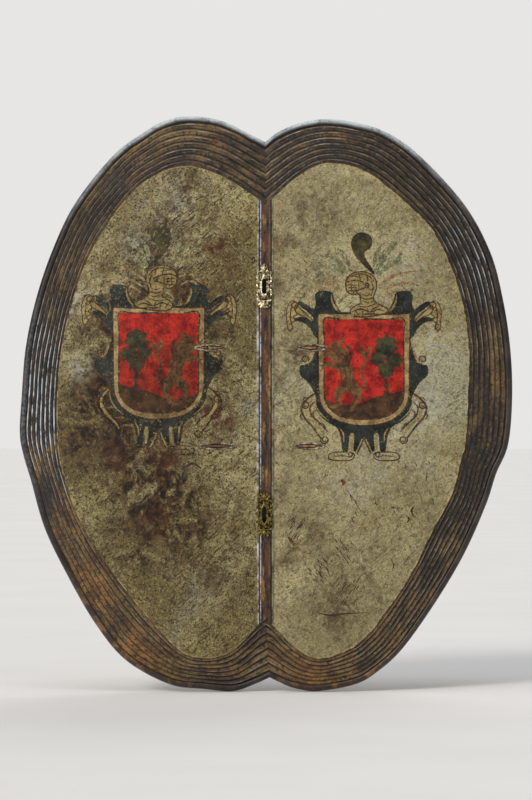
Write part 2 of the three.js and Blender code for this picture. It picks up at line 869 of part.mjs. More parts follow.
const bow_start_z = tab_cut_z - strap_cut_gap;
const bow_shoulder = bow_start_z - strap_straight_half;
const wrap_radius = buckle_bar_radius + strap_wrap_clearance + strap_thickness / 2;
const chape_outer = forearm_run + wrap_radius;
const chape_inner = forearm_run - wrap_radius;
const billet_outer = chape_outer + strap_thickness + strap_wrap_clearance;
const buckle_end_z = buckle_bar_z - buckle_length;
const tongue_slot_half = tongue_width / 2 + tongue_side_clearance;
const billet_inner = forearm_run - buckle_end_radius - strap_wrap_clearance - strap_thickness / 2;

function bowTo(run, up) {
  const centre = new THREE.Vector2(run - bow_shoulder, up * (bow_start_z - bow_shoulder));
  return [
    new THREE.Vector2(swing_axis_offset, up * bow_start_z),
    new THREE.Vector2(swing_axis_offset + strap_thickness * 2, up * (bow_start_z - strap_thickness)),
    ...arcPoints(centre, bow_shoulder * bow_round_share, up * bow_start_angle, 0).map(
      (point) => new THREE.Vector2(centre.x + (point.x - centre.x) / bow_round_share, point.y)),
  ];
}

function chapeStrap() {
  const line = [
    ...bowTo(chape_outer, 1),
    ...arcPoints(new THREE.Vector2(forearm_run, buckle_bar_z), wrap_radius, 0, -180),
    new THREE.Vector2(chape_inner, buckle_bar_z + chape_return),
  ];
  const slot = boxBetween(
    new THREE.Vector3(-tongue_slot_half, 0, buckle_bar_z - chape_slot_reach),
    new THREE.Vector3(tongue_slot_half, forearm_run + cut_overrun, buckle_bar_z + chape_slot_reach));
  const geometry = cutFrom(strapFrom(line, strap_width, true, false), [solidOf(slot)]);
  return named('forearm_chape_strap', geometry, strap_leather);
}

function billetStrap() {
  const line = [
    ...bowTo(billet_inner, -1),
    new THREE.Vector2(billet_outer, buckle_bar_z - wrap_radius),
    new THREE.Vector2(billet_outer, buckle_bar_z + billet_tail),
  ];
  const hole = boxBetween(
    new THREE.Vector3(-tongue_slot_half, billet_inner, buckle_end_z + billet_hole_end_inset),
    new THREE.Vector3(
      tongue_slot_half, billet_outer + cut_overrun, buckle_bar_z - billet_hole_top_inset));
  const geometry = cutFrom(strapFrom(line, strap_width, true, false), [solidOf(hole)]);
  return named('forearm_billet_strap', geometry, strap_leather);
}

const buckle_half_width = strap_width / 2 + buckle_side_clearance;

function crossBar(radius, z) {
  const length = 2 * (buckle_half_width + buckle_side);
  const geometry = new THREE.CylinderGeometry(radius, radius, length, round_sides);
  geometry.rotateZ(Math.PI / 2);
  return geometry.translate(0, forearm_run, z);
}

function buckleFrame() {
  let frame = solidOf(crossBar(buckle_bar_radius, buckle_bar_z));
  frame = frame.add(solidOf(crossBar(buckle_end_radius, buckle_end_z)));
  for (const side of [-1, 1]) {
    const near = side * buckle_half_width;
    const far = side * (buckle_half_width + buckle_side);
    frame = frame.add(solidOf(boxBetween(
      new THREE.Vector3(Math.min(near, far), forearm_run - buckle_end_radius, buckle_end_z - buckle_end_radius),
      new THREE.Vector3(Math.max(near, far), forearm_run + buckle_end_radius, buckle_bar_z + buckle_end_radius))));
  }
  return named('buckle_frame', geometryFrom(frame), brass);
}

function buckleTongue() {
  const inner = buckle_bar_radius + strap_wrap_clearance;
  const outer = inner + tongue_eye_wall;
  const eye = new THREE.Shape();
  eye.absarc(0, 0, outer, 0, 2 * Math.PI, false);
  eye.holes.push(new THREE.Path().absarc(0, 0, inner, 0, 2 * Math.PI, true));
  const eye_geometry = new THREE.ExtrudeGeometry(eye, {
    depth: tongue_width, bevelEnabled: false, curveSegments: round_sides });
  const rest = buckle_end_radius + seat_gap;
  const root = inner + seat_gap;
  const blade = new THREE.Shape([
    new THREE.Vector2(root, 0),
    new THREE.Vector2(outer, 0),
    new THREE.Vector2(rest + tongue_thickness, -buckle_length),
    new THREE.Vector2(rest + tongue_thickness / 2, -buckle_length - tongue_overhang),
    new THREE.Vector2(rest, -buckle_length - tongue_overhang),
    new THREE.Vector2(rest, -buckle_length + tongue_overhang),
  ]);
  const blade_geometry = new THREE.ExtrudeGeometry(blade, { depth: tongue_width, bevelEnabled: false });
  const upright = new THREE.Matrix4().makeBasis(
    new THREE.Vector3(0, 1, 0), new THREE.Vector3(0, 0, 1), new THREE.Vector3(1, 0, 0));
  const solid = solidOf(eye_geometry).add(solidOf(blade_geometry));
  const geometry = geometryFrom(solid).translate(0, 0, -tongue_width / 2).applyMatrix4(upright);
  const tongue = named('buckle_tongue', geometry, brass);
  tongue.position.set(0, forearm_run, buckle_bar_z);
  return tongue;
}

function ringAroundStrap(half_width, low, high, wall, height) {
  const shape = new THREE.Shape([
    new THREE.Vector2(-half_width - wall, low - wall),
    new THREE.Vector2(half_width + wall, low - wall),
    new THREE.Vector2(half_width + wall, high + wall),
    new THREE.Vector2(-half_width - wall, high + wall),
  ]);
  shape.holes.push(new THREE.Path([
    new THREE.Vector2(-half_width, low),
    new THREE.Vector2(-half_width, high),
    new THREE.Vector2(half_width, high),
    new THREE.Vector2(half_width, low),
  ]));
  return new THREE.ExtrudeGeometry(shape, { depth: height, bevelEnabled: false });
}

function strapKeeper() {
  const low = chape_inner - strap_thickness / 2 - keeper_clearance;
  const high = billet_outer + strap_thickness / 2 + keeper_clearance;
  const geometry = ringAroundStrap(
    strap_width / 2 + keeper_clearance, low, high, keeper_wall, keeper_height);
  geometry.translate(0, 0, -keeper_height / 2);
  const keeper = named('strap_keeper', geometry, strap_leather);
  keeper.position.z = buckle_bar_z + keeper_rise;
  return keeper;
}

// Hand strap and the wrapped grip on its outer run

function handStrap() {
  const line = [
    ...bowTo(hand_run, 1),
    ...bowTo(hand_run, -1).reverse(),
  ];
  return named('hand_strap', strapFrom(line, strap_width, true, true), strap_leather);
}

const grip_length = 2 * (strap_straight_half - grip_end_clearance);

function gripWrap() {
  const half_width = strap_width / 2 + grip_clearance;
  const half_depth = strap_thickness / 2 + grip_clearance;
  const shape = new THREE.Shape();
  const w = half_width + grip_wall;
  const d = half_depth + grip_wall;
  shape.moveTo(-w + grip_rounding, -d);
  shape.lineTo(w - grip_rounding, -d);
  shape.quadraticCurveTo(w, -d, w, 0);
  shape.quadraticCurveTo(w, d, w - grip_rounding, d);
  shape.lineTo(-w + grip_rounding, d);
  shape.quadraticCurveTo(-w, d, -w, 0);
  shape.quadraticCurveTo(-w, -d, -w + grip_rounding, -d);
  shape.holes.push(new THREE.Path([
    new THREE.Vector2(-half_width, -half_depth),
    new THREE.Vector2(-half_width, half_depth),
    new THREE.Vector2(half_width, half_depth),
    new THREE.Vector2(half_width, -half_depth),
  ]));
  const geometry = new THREE.ExtrudeGeometry(shape, {
    depth: grip_length, bevelEnabled: false, curveSegments: grip_steps });
  geometry.translate(0, hand_run, -grip_length / 2);
  return named('hand_grip_wrap', geometry, grip_leather);
}

// Assembly

const shield = new THREE.Group();
shield.name = 'heraldic_shield';
shield.position.set(0, -arm_y, -arm_z);
shield.add(backHide(), frontHide(), ...facePanels(), spineStrip(), rimBinding());

for (const { place, group } of plate_groups) {
  group.add(
    slotPlate(place, group),
    backingPlate(place, group),
    plateRivet(`${place}_plate_top_rivet`, 1),
    plateRivet(`${place}_plate_bottom_rivet`, -1),
  );
  shield.add(group);
}

for (const place of lace_places) {
  place.group.add(anchorPatch(place), strapTab(place), lace(place));
}
forearm_group.add(chapeStrap(), billetStrap(), buckleFrame(), buckleTongue(), strapKeeper());
hand_group.add(handStrap(), gripWrap());
shield.add(hand_group, forearm_group);

export default shield;
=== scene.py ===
import math

import bmesh
import bpy
import numpy as np
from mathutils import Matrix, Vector
from mathutils.bvhtree import BVHTree
from mathutils.geometry import delaunay_2d_cdt


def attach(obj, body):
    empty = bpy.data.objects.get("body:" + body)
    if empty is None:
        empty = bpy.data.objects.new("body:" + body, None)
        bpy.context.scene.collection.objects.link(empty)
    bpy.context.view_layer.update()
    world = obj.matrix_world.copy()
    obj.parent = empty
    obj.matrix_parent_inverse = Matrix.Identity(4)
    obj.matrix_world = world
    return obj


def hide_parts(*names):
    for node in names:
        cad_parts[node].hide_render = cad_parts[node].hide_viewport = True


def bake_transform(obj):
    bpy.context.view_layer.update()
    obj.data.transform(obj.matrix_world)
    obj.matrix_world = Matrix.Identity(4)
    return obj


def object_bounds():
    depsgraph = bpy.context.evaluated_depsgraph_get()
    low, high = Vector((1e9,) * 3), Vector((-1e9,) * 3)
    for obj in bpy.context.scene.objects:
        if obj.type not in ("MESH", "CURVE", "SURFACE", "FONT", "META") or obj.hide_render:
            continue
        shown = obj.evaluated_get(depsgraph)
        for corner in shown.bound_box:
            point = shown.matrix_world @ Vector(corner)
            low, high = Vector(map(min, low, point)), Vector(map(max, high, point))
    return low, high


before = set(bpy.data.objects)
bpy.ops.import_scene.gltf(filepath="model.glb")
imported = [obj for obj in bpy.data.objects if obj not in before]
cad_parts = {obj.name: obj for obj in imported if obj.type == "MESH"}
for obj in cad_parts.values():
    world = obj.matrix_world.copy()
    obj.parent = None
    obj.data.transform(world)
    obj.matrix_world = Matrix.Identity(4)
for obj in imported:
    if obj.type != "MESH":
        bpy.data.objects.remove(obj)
packed_low, packed_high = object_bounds()

# The back hide: the thick rawhide ply that gives the shield its two domed lobes. It was moulded wet over a
# form, so its surface swells and dips softly. Both hides, the panels and the binding share its form, which
# is set out here in millimetres from the middle of the outline, with heights from the rim's back plane.
mm = 0.001
half_width, half_height = 334.0, 389.5
rim_plane_y, outline_middle_z = 8.0, -8.8
lip_rise, border_rise, valley_rise, crown_rise = 3.0, 24.0, 13.0, 16.0
back_ply, front_ply, layer_gap = 4.0, 4.6, 0.35
plies = back_ply + layer_gap + front_ply
binding_wall, binding_lip, binding_clearance = 2.6, 8.0, 0.35
spine_half_width = 8.4

# Each row pairs a point of the outline with the point of the panel's edge inwards of it, as shares of the
# half width and half height, from the top notch round one lobe to the bottom notch
left_edge = np.array([
    [0, .909, 0, .688], [-.045, .928, -.025, .706], [-.176, .982, -.156, .778], [-.298, .999, -.276, .819],
    [-.4, .985, -.362, .817], [-.489, .944, -.437, .793], [-.619, .86, -.53, .737], [-.773, .693, -.65, .606],
    [-.866, .527, -.734, .467], [-.931, .36, -.79, .321], [-.972, .193, -.827, .17],
    [-.988, .026, -.841, .02],
    [-.996, -.103, -.841, -.098], [-.98, -.183, -.835, -.17], [-.951, -.266, -.817, -.244],
    [-.895, -.433, -.757, -.388], [-.801, -.6, -.665, -.526], [-.688, -.767, -.551, -.66],
    [-.566, -.892, -.443, -.77], [-.392, -.975, -.34, -.858], [-.249, -.992, -.24, -.881],
    [-.128, -.999, -.135, -.855], [-.04, -.974, -.025, -.764], [.017, -.952, 0, -.747]])
right_edge = np.array([
    [0, .909, 0, .688], [.05, .942, .025, .706], [.135, .974, .12, .78], [.24, .989, .219, .827],
    [.36, .978, .323, .827], [.489, .944, .425, .793], [.627, .86, .524, .727], [.805, .693, .665, .611],
    [.911, .527, .751, .47], [.963, .36, .802, .323], [.992, .193, .823, .172], [1, .026, .818, .02],
    [.984, -.141, .809, -.128], [.935, -.244, .785, -.21], [.895, -.349, .755, -.308],
    [.809, -.516, .668, -.452], [.695, -.683, .588, -.59], [.557, -.85, .48, -.728],
    [.452, -.933, .404, -.809],
    [.363, -.976, .329, -.855], [.213, -.999, .216, -.883], [.116, -.989, .126, -.85],
    [.055, -.968, .025, -.764], [.017, -.952, 0, -.747]])


def along_curve(points, t):
    """Points on the uniform Catmull-Rom curve through the given ones, for t from 0 to 1."""
    last = len(points) - 1
    ends = np.vstack([2 * points[0] - points[1], points, 2 * points[-1] - points[-2]])
    place = np.clip(np.asarray(t) * last, 0, last)
    first = np.minimum(place.astype(int), last - 1)
    u = (place - first)[:, None]
    p0, p1, p2, p3 = (ends[first + n] for n in range(4))
    a, b = (p2 - p0) / 2, (p3 - p1) / 2
    return p1 + a * u + (3 * (p2 - p1) - 2 * a - b) * u ** 2 + (2 * (p1 - p2) + a + b) * u ** 3


class Lobe:
    """One half of the shield as columns that cross it from the outline to the middle line."""

    def __init__(self, shares, side, steps=300, end_steps=12):
        outer = shares[:, :2] * (half_width, half_height)
        inner = shares[:, 2:] * (half_width, half_height)
        inner[1, 0] = inner[-2, 0] = side * spine_half_width
        last = len(shares) - 1
        fine = np.linspace(0, 1, 40 * last + 1)
        step_lengths = np.linalg.norm(np.diff(along_curve(outer, fine), axis=0), axis=1)
        run = np.concatenate([[0], np.cumsum(step_lengths)])
        start, finish = np.interp([1 / last, 1 - 1 / last], fine, run)
        t = np.concatenate([
            np.linspace(0, 1 / last, end_steps, endpoint=False),
            np.interp(np.linspace(start, finish, steps + 1), run, fine),
            np.linspace(1 - 1 / last, 1, end_steps + 1)[1:]])
        self.side = side
        self.length = np.interp(t, fine, run)
        along = np.clip((self.length - start) / (finish - start), 0, 1)
        self.outside, self.inside = along_curve(outer, t), along_curve(inner, t)
        core_z = inner[1, 1] + (inner[-2, 1] - inner[1, 1]) * along
        self.core = self.inside.copy()
        self.field_rows = slice(end_steps, end_steps + steps + 1)
        self.core[self.field_rows] = np.stack(
            [np.full(steps + 1, side * spine_half_width), core_z[self.field_rows]], -1)
        self.middle = np.stack([0 * core_z, np.clip(core_z, inner[-1, 1], inner[0, 1])], -1)
        self.dome = 1 - (2 * along - 1) ** 2
        self.border = np.linalg.norm(self.outside - self.inside, axis=1)
        self.field = np.linalg.norm(self.inside - self.core, axis=1)

    def flat(self, stations):
        """Places for stations 0 the outline, 1 the panel's edge, 2 the spine's side, 3 the middle line."""
        stops = np.stack([self.outside, self.inside, self.core, self.middle])
        first = np.minimum(stations.astype(int), 2)
        row = np.arange(len(self.dome))[:, None]
        u = (stations - first)[..., None]
        return stops[first, row] * (1 - u) + stops[first + 1, row] * u

    def height(self, stations):
        """Height of the back hide's rear face."""
        across = np.clip(stations, 1, 2) - 1
        dome = self.dome[:, None]
        crown = crown_rise * dome * 4 * across * (1 - across)
        return lip_rise + border_rise * np.minimum(stations, 1) + valley_rise * dome * across + crown


lobes = [Lobe(left_edge, -1), Lobe(right_edge, 1)]


def swell(flat):
    """Soft dents and swells of the moulded leather, which die out at the spine."""
    x, z = flat[..., 0], flat[..., 1]
    waves = (np.sin(x / 31 + 1.3 * np.sin(z / 47)) * np.sin(z / 38 + .8 * np.sin(x / 53))
             + .6 * np.sin(x / 17 + z / 23 + 2) * np.sin(z / 19 - x / 41))
    return .35 * waves * np.clip((np.abs(x) - 14) / 25, 0, 1)


def placed(flat, height):
    """Metres in the row frame of places on the outline's plane raised by a height."""
    return np.stack([flat[..., 0], rim_plane_y - height, flat[..., 1] + outline_middle_z], -1) * mm


def across_both(make):
    """One grid of points over both lobes, joined at the middle line."""
    left, right = (make(lobe) for lobe in lobes)
    return np.concatenate([left, right[:, ::-1][:, 1:]], axis=1)


# Folds that turn by more than this stay crisp edges
crease_angle = math.radians(42)


def finished(mesh, name, body, material, replaced=(), attributes=None):
    """Links a mesh as a piece on a body, its material and the CAD nodes it stands for."""
    mesh.name = name
    for key, values in (attributes or {}).items():
        mesh.attributes.new(key, "FLOAT", "POINT").data.foreach_set("value", values.astype(np.float32))
    mesh.materials.append(material)
    mesh.shade_smooth()
    mesh.set_sharp_from_angle(angle=crease_angle)
    piece = bpy.data.objects.new(name, mesh)
    bpy.context.scene.collection.objects.link(piece)
    if body:
        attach(piece, body)
    if replaced:
        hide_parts(*replaced)
    return piece


def closed_mesh(points, faces, weld=2e-6):
    """A mesh of these faces with doubled points welded, empty faces gone and every face turned outwards.
    The second result gives, for each point that is left, its number in the list that came in."""
    mesh = bpy.data.meshes.new("mesh")
    mesh.from_pydata(points.reshape(-1, 3).tolist(), [], faces)
    made = bmesh.new()
    made.from_mesh(mesh)
    number = made.verts.layers.int.new("number")
    for place, vert in enumerate(made.verts):
        vert[number] = place
    bmesh.ops.remove_doubles(made, verts=made.verts, dist=weld)
    bmesh.ops.recalc_face_normals(made, faces=made.faces)
    kept = np.array([vert[number] for vert in made.verts])
    made.verts.layers.int.remove(number)
    made.to_mesh(mesh)
    made.free()
    return mesh, kept


def quads(index):
    corners = [index[:-1, :-1], index[1:, :-1], index[1:, 1:], index[:-1, 1:]]
    return np.stack([c.ravel() for c in corners], -1).tolist()


def slab(front, back, end_walls=False):
    """A closed solid between two grids of points whose side columns, and end rows if asked, are walled."""
    index = np.arange(front.shape[0] * front.shape[1]).reshape(front.shape[:2])
    rear = np.arange(back.shape[0] * back.shape[1]).reshape(back.shape[:2]) + index.size
    faces = quads(index) + quads(rear[:, ::-1])
    for column in (0, -1):
        faces += quads(np.stack([rear[:, column], index[:, column]][::1 if column else -1], -1))
    if end_walls:
        for row, other in ((index[0], rear[0]), (rear[-1], index[-1])):
            faces += quads(np.stack([row, other], -1))
    return closed_mesh(np.concatenate([front.reshape(-1, 3), back.reshape(-1, 3)]), faces)


def linear(colour):
    """A hex colour as the screen shows it, turned to the linear values that shaders use."""
    parts = [int(colour[n:n + 2], 16) / 255 for n in (1, 3, 5)]
    return (*[c / 12.92 if c <= .04045 else ((c + .055) / 1.055) ** 2.4 for c in parts], 1.0)


def add(tree, kind, settings=None, inputs=None):
    """Adds a node with its settings, and its inputs as values, hex colours or links."""
    node = tree.nodes.new(kind)
    for key, value in (settings or {}).items():
        setattr(node, key, value)
    for key, value in (inputs or {}).items():
        if isinstance(value, bpy.types.NodeSocket):
            tree.links.new(value, node.inputs[key])
        else:
            node.inputs[key].default_value = linear(value) if isinstance(value, str) else value
    return node


def patches(tree, waves, low, high, detail=4, roughness=.55, distortion=0, vector=None):
    """Ragged patches, so many waves to the metre, that fade in as their noise passes from low to high."""
    vector = vector or add(tree, "ShaderNodeTexCoord").outputs["Object"]
    height = add(tree, "ShaderNodeTexNoise", None, {
        "Vector": vector, "Scale": waves, "Detail": detail, "Roughness": roughness,
        "Distortion": distortion}).outputs["Fac"]
    return add(tree, "ShaderNodeMapRange", {"interpolation_type": "SMOOTHSTEP"}, {
        "Value": height, "From Min": low, "From Max": high}).outputs["Result"]


def speckle(tree, waves, low, high):
    """Dots and short cracks, where very broken noise passes from low to high."""
    return patches(tree, waves, low, high, 8, .82)


def cracks(tree, cells, low, high):
    """The lines between cells, so many to the metre, as the nearest line passes from low to high."""
    nearest = add(tree, "ShaderNodeTexVoronoi", {"feature": "DISTANCE_TO_EDGE"}, {
        "Vector": add(tree, "ShaderNodeTexCoord").outputs["Object"], "Scale": cells}).outputs["Distance"]
    return add(tree, "ShaderNodeMapRange", {"interpolation_type": "SMOOTHSTEP"}, {
        "Value": nearest, "From Min": low, "From Max": high}).outputs["Result"]


def coats(tree, ground, *laid):
    """A ground colour under coats of other colours. Each coat is a colour and the shares that, multiplied,
    say how much of what lies below it covers."""
    for colour, share, *more in laid:
        for factor in more:
            share = add(tree, "ShaderNodeMath", {"operation": "MULTIPLY"}, {0: share, 1: factor}).outputs[0]
        ground = add(tree, "ShaderNodeMix", {"data_type": "RGBA"}, {
            0: share, 6: ground, 7: colour}).outputs[2]
    return ground


def grain(waves, detail, roughness):
    """A fine uneven surface, with so many waves to the metre, as a height from 0 to 1."""
    return lambda tree: add(tree, "ShaderNodeTexNoise", None, {
        "Vector": add(tree, "ShaderNodeTexCoord").outputs["Object"], "Scale": waves, "Detail": detail,
        "Roughness": roughness}).outputs["Fac"]


def between(low, high, waves, detail=4):
    """Roughness that wanders between two values."""
    return lambda tree: add(tree, "ShaderNodeMapRange", None, {
        "Value": grain(waves, detail, .55)(tree), "From Min": .3, "From Max": .7,
        "To Min": low, "To Max": high}).outputs["Result"]


def material(name, colour, roughness, bump=None, bump_mm=.1, metallic=0.0, specular=.5):
    """Finishes a material whose colour, roughness and bump are functions of its node tree."""
    made = bpy.data.materials.new(name)
    made.use_nodes = True
    tree = made.node_tree
    shader = tree.nodes["Principled BSDF"]
    shader.inputs["Metallic"].default_value = metallic
    shader.inputs["Specular IOR Level"].default_value = specular
    tree.links.new(colour(tree), shader.inputs["Base Color"])
    tree.links.new(roughness(tree), shader.inputs["Roughness"])
    if bump:
        normal = add(tree, "ShaderNodeBump", None, {"Distance": bump_mm * mm, "Height": bump(tree)})
        tree.links.new(normal.outputs["Normal"], shader.inputs["Normal"])
    return made


# Rawhide, scraped, dried on the form and never dyed. It looks dry and warm brown, paler and greasy where a
# coat rubbed it, with fine dark creases, pale flecks and pits.
def rawhide_colour(tree):
    return coats(
        tree, "#4a3322",
        ("#75563a", patches(tree, 9, .36, .64, 8, .66)),
        ("#8d6d48", patches(tree, 4, .54, .7, 8, .68, .4)),
        ("#2c1c11", cracks(tree, 150.0, .1, .02), .35),
        ("#9a7d57", speckle(tree, 260, .5, .62), .45),
        ("#2a1a10", speckle(tree, 330, .52, .62), .7))


rawhide = material("rawhide", rawhide_colour, between(.55, .8, 14), grain(420, 8, .72), .4, specular=.35)

# How many points cross the border and the field, and the stations from the panel's edge to the middle line
border_columns, field_columns = 16, 30
to_middle = np.concatenate([np.linspace(1, 2, field_columns)[1:], [2.5, 3]])


def ply_stations(lobe):
    first = (binding_wall + binding_clearance) / lobe.border
    rows = first[:, None] + (1 - first[:, None]) * np.linspace(0, 1, border_columns)
    return np.concatenate([rows, np.tile(to_middle, (len(first), 1))], axis=1)


def shell(lobe, raised):
    stations = ply_stations(lobe)
    flat = lobe.flat(stations)
    return placed(flat, lobe.height(stations) + swell(flat) * np.clip(stations, 0, 1) + raised)


def cut(piece, cutters):
    """Cuts closed meshes out of a piece and keeps the result as its mesh."""
    for cutter in cutters:
        tool = bpy.data.objects.new("cutter", cutter)
        bpy.context.scene.collection.objects.link(tool)
        modifier = piece.modifiers.new("cut", "BOOLEAN")
        modifier.operation, modifier.solver, modifier.object = "DIFFERENCE", "EXACT", tool
        bpy.context.view_layer.update()
        evaluated = piece.evaluated_get(bpy.context.evaluated_depsgraph_get())
        result = bpy.data.meshes.new_from_object(evaluated)
        piece.modifiers.remove(modifier)
        old, piece.data = piece.data, result
        bpy.data.meshes.remove(old)
        bpy.data.objects.remove(tool)


back_mesh, _ = slab(across_both(lambda lobe: shell(lobe, back_ply)), across_both(lambda lobe: shell(lobe, 0)))
back_hide = finished(back_mesh, "back_hide_leather", "shield_body", rawhide, ["back_hide"])

# The front hide: a finer ply glued over the back one, with seven ridges pressed into its border while wet.
# It was stained near black, and the crests and slopes have worn back to tan and orange leather.
ridge_count, ridge_height = 7, 2.0
ridge_shape = [  # share of the ridge's width from its outer side, share of its height
    (0, 0), (.07, -.16), (.15, .12), (.24, .72), (.32, .97), (.4, 1), (.49, .86), (.6, .58), (.74, .3),
    (.88, .1)]


def border_wander(lobe, across):
    """Ridges aren't quite even: they drift by under a millimetre."""
    run = lobe.length[:, None] * lobe.side
    drift = .5 * np.sin(run / 43) + .35 * np.sin(run / 19 + 5 * across) + .15 * np.sin(run / 7 + 9 * across)
    return drift * np.sin(np.pi * across)


# Places where the ridges were crushed or worn flat: x, z, the two half sizes in millimetres, and how far
crushed_places = [
    (296, -2, 34, 30, .75), (275, -72, 30, 60, .5), (-300, -85, 26, 24, .35), (250, 180, 22, 30, .3),
    (-304, -135, 24, 34, .6), (-280, -190, 24, 34, .6), (-252, -245, 24, 32, .6), (-222, -296, 24, 30, .55),
    (-186, -340, 26, 26, .5), (-130, -372, 34, 16, .4), (70, -378, 40, 14, .35), (-210, 292, 30, 20, .3)]


def crushed(flat):
    """1 where the ridges stand full, less where they are worn flat."""
    x, z = flat[..., 0], flat[..., 1] + outline_middle_z
    left = 1 - .28 * (np.sin(x / 17 + 2 * np.sin(z / 23)) * np.sin(z / 19 + 1.3 * np.sin(x / 29))) ** 2
    for spot_x, spot_z, half_x, half_z, depth in crushed_places:
        left -= depth * np.exp(-((x - spot_x) / half_x) ** 2 - ((z - spot_z) / half_z) ** 2)
    return np.clip(left, .2, 1)


def ridged_front(lobe):
    first = (binding_wall + binding_clearance) / lobe.border
    start = (binding_lip + binding_clearance) / lobe.border
    shares = np.array([n + share for n in range(ridge_count) for share, _ in ridge_shape]) / ridge_count
    rises = np.array([rise for _ in range(ridge_count) for _, rise in ridge_shape])
    stations = start[:, None] + (1 - start[:, None]) * shares
    stations += border_wander(lobe, shares[None, :]) / lobe.border[:, None] * np.minimum(shares * 30, 1)
    lead = np.stack([first, (first + start) / 2], -1)
    beyond = np.tile(np.concatenate([[1.0], to_middle]), (len(first), 1))
    stations = np.concatenate([lead, stations, beyond], axis=1)
    flat = lobe.flat(stations)
    full = np.concatenate([[0, 0], rises, np.zeros(beyond.shape[1])])[None, :]
    left = crushed(flat)
    height = (lobe.height(stations) + swell(flat) * np.clip(stations, 0, 1) + plies
              + ridge_height * full * left)
    run = np.repeat(lobe.length[:, None] * lobe.side, stations.shape[1], axis=1)
    return placed(flat, height), full * left ** .3, stations * lobe.border[:, None], run


def border_coordinates(tree):
    """How far along the rim and in from its edge a point lies, in metres, so that wear follows the ridges."""
    run = add(tree, "ShaderNodeAttribute", {"attribute_name": "along_rim"}).outputs["Fac"]
    depth = add(tree, "ShaderNodeAttribute", {"attribute_name": "in_from_rim"}).outputs["Fac"]
    return add(tree, "ShaderNodeCombineXYZ", None, {"X": run, "Y": depth, "Z": 0.0}).outputs[0]


def near(tree, x, z, radius, ragged=.5):
    """1 at a place on the face, given in millimetres, fading to 0 with a ragged edge at the radius."""
    seen = add(tree, "ShaderNodeTexCoord").outputs["Object"]
    flat = add(tree, "ShaderNodeVectorMath", {"operation": "MULTIPLY"}, {0: seen, 1: (1, 0, 1)}).outputs[0]
    away = add(tree, "ShaderNodeVectorMath", {"operation": "DISTANCE"},
               {0: flat, 1: (x * mm, 0, z * mm)}).outputs["Value"]
    uneven = add(tree, "ShaderNodeMath", {"operation": "MULTIPLY"}, {
        0: grain(24, 6, .65)(tree), 1: 2 * ragged * radius * mm}).outputs[0]
    reach = add(tree, "ShaderNodeMath", {"operation": "ADD", "use_clamp": True}, {
        0: away, 1: uneven}).outputs[0]
    return add(tree, "ShaderNodeMapRange", {"interpolation_type": "SMOOTHSTEP"}, {
        "Value": reach, "From Min": (1 + ragged) * radius * mm,
        "From Max": ragged * radius * mm}).outputs["Result"]


def places(tree, spots):
    """The sum of ragged spots given as x, z, radius and strength."""
    total = 0.0
    for x, z, radius, strength in spots:
        spot = add(tree, "ShaderNodeMath", {"operation": "MULTIPLY"}, {
            0: near(tree, x, z, radius), 1: strength}).outputs[0]
        total = add(tree, "ShaderNodeMath", {"operation": "ADD"}, {0: spot, 1: total}).outputs[0]
    return total


def where(tree, measure, low, high):
    """How far a measure that the mesh carries has passed from low to high."""
    return add(tree, "ShaderNodeMapRange", {"interpolation_type": "SMOOTHSTEP"}, {
        "Value": add(tree, "ShaderNodeAttribute", {"attribute_name": measure}).outputs["Fac"],
        "From Min": low, "From Max": high}).outputs["Result"]


# Where the stain wore to tan: x, z, radius, strength. Negative ones keep it dark; on the right they are
# painted shade
worn_to_tan_and_right_shade = [(-136, -349, 130, .14), (80, -363, 150, .25), (-102, 345, 120, .06), (304, 50, 60, .1),
               (-251, -220, 110, .2), (250, -220, 60, .02), (-300, 40, 120, -.1), (285, 190, 120, -.18),
               (290, -130, 90, -.18), (190, 320, 90, -.1), (-190, 290, 80, -.06), (300, -10, 80, -.06)]
worn_orange = [(-292, -165, 60, .8), (-248, -262, 70, .8), (-178, -352, 70, .7), (60, -374, 80, .6),
               (-60, -368, 50, .4), (304, 20, 34, .3), (-60, 345, 50, .2), (90, 350, 40, .2),
               (180, -336, 40, .3)]
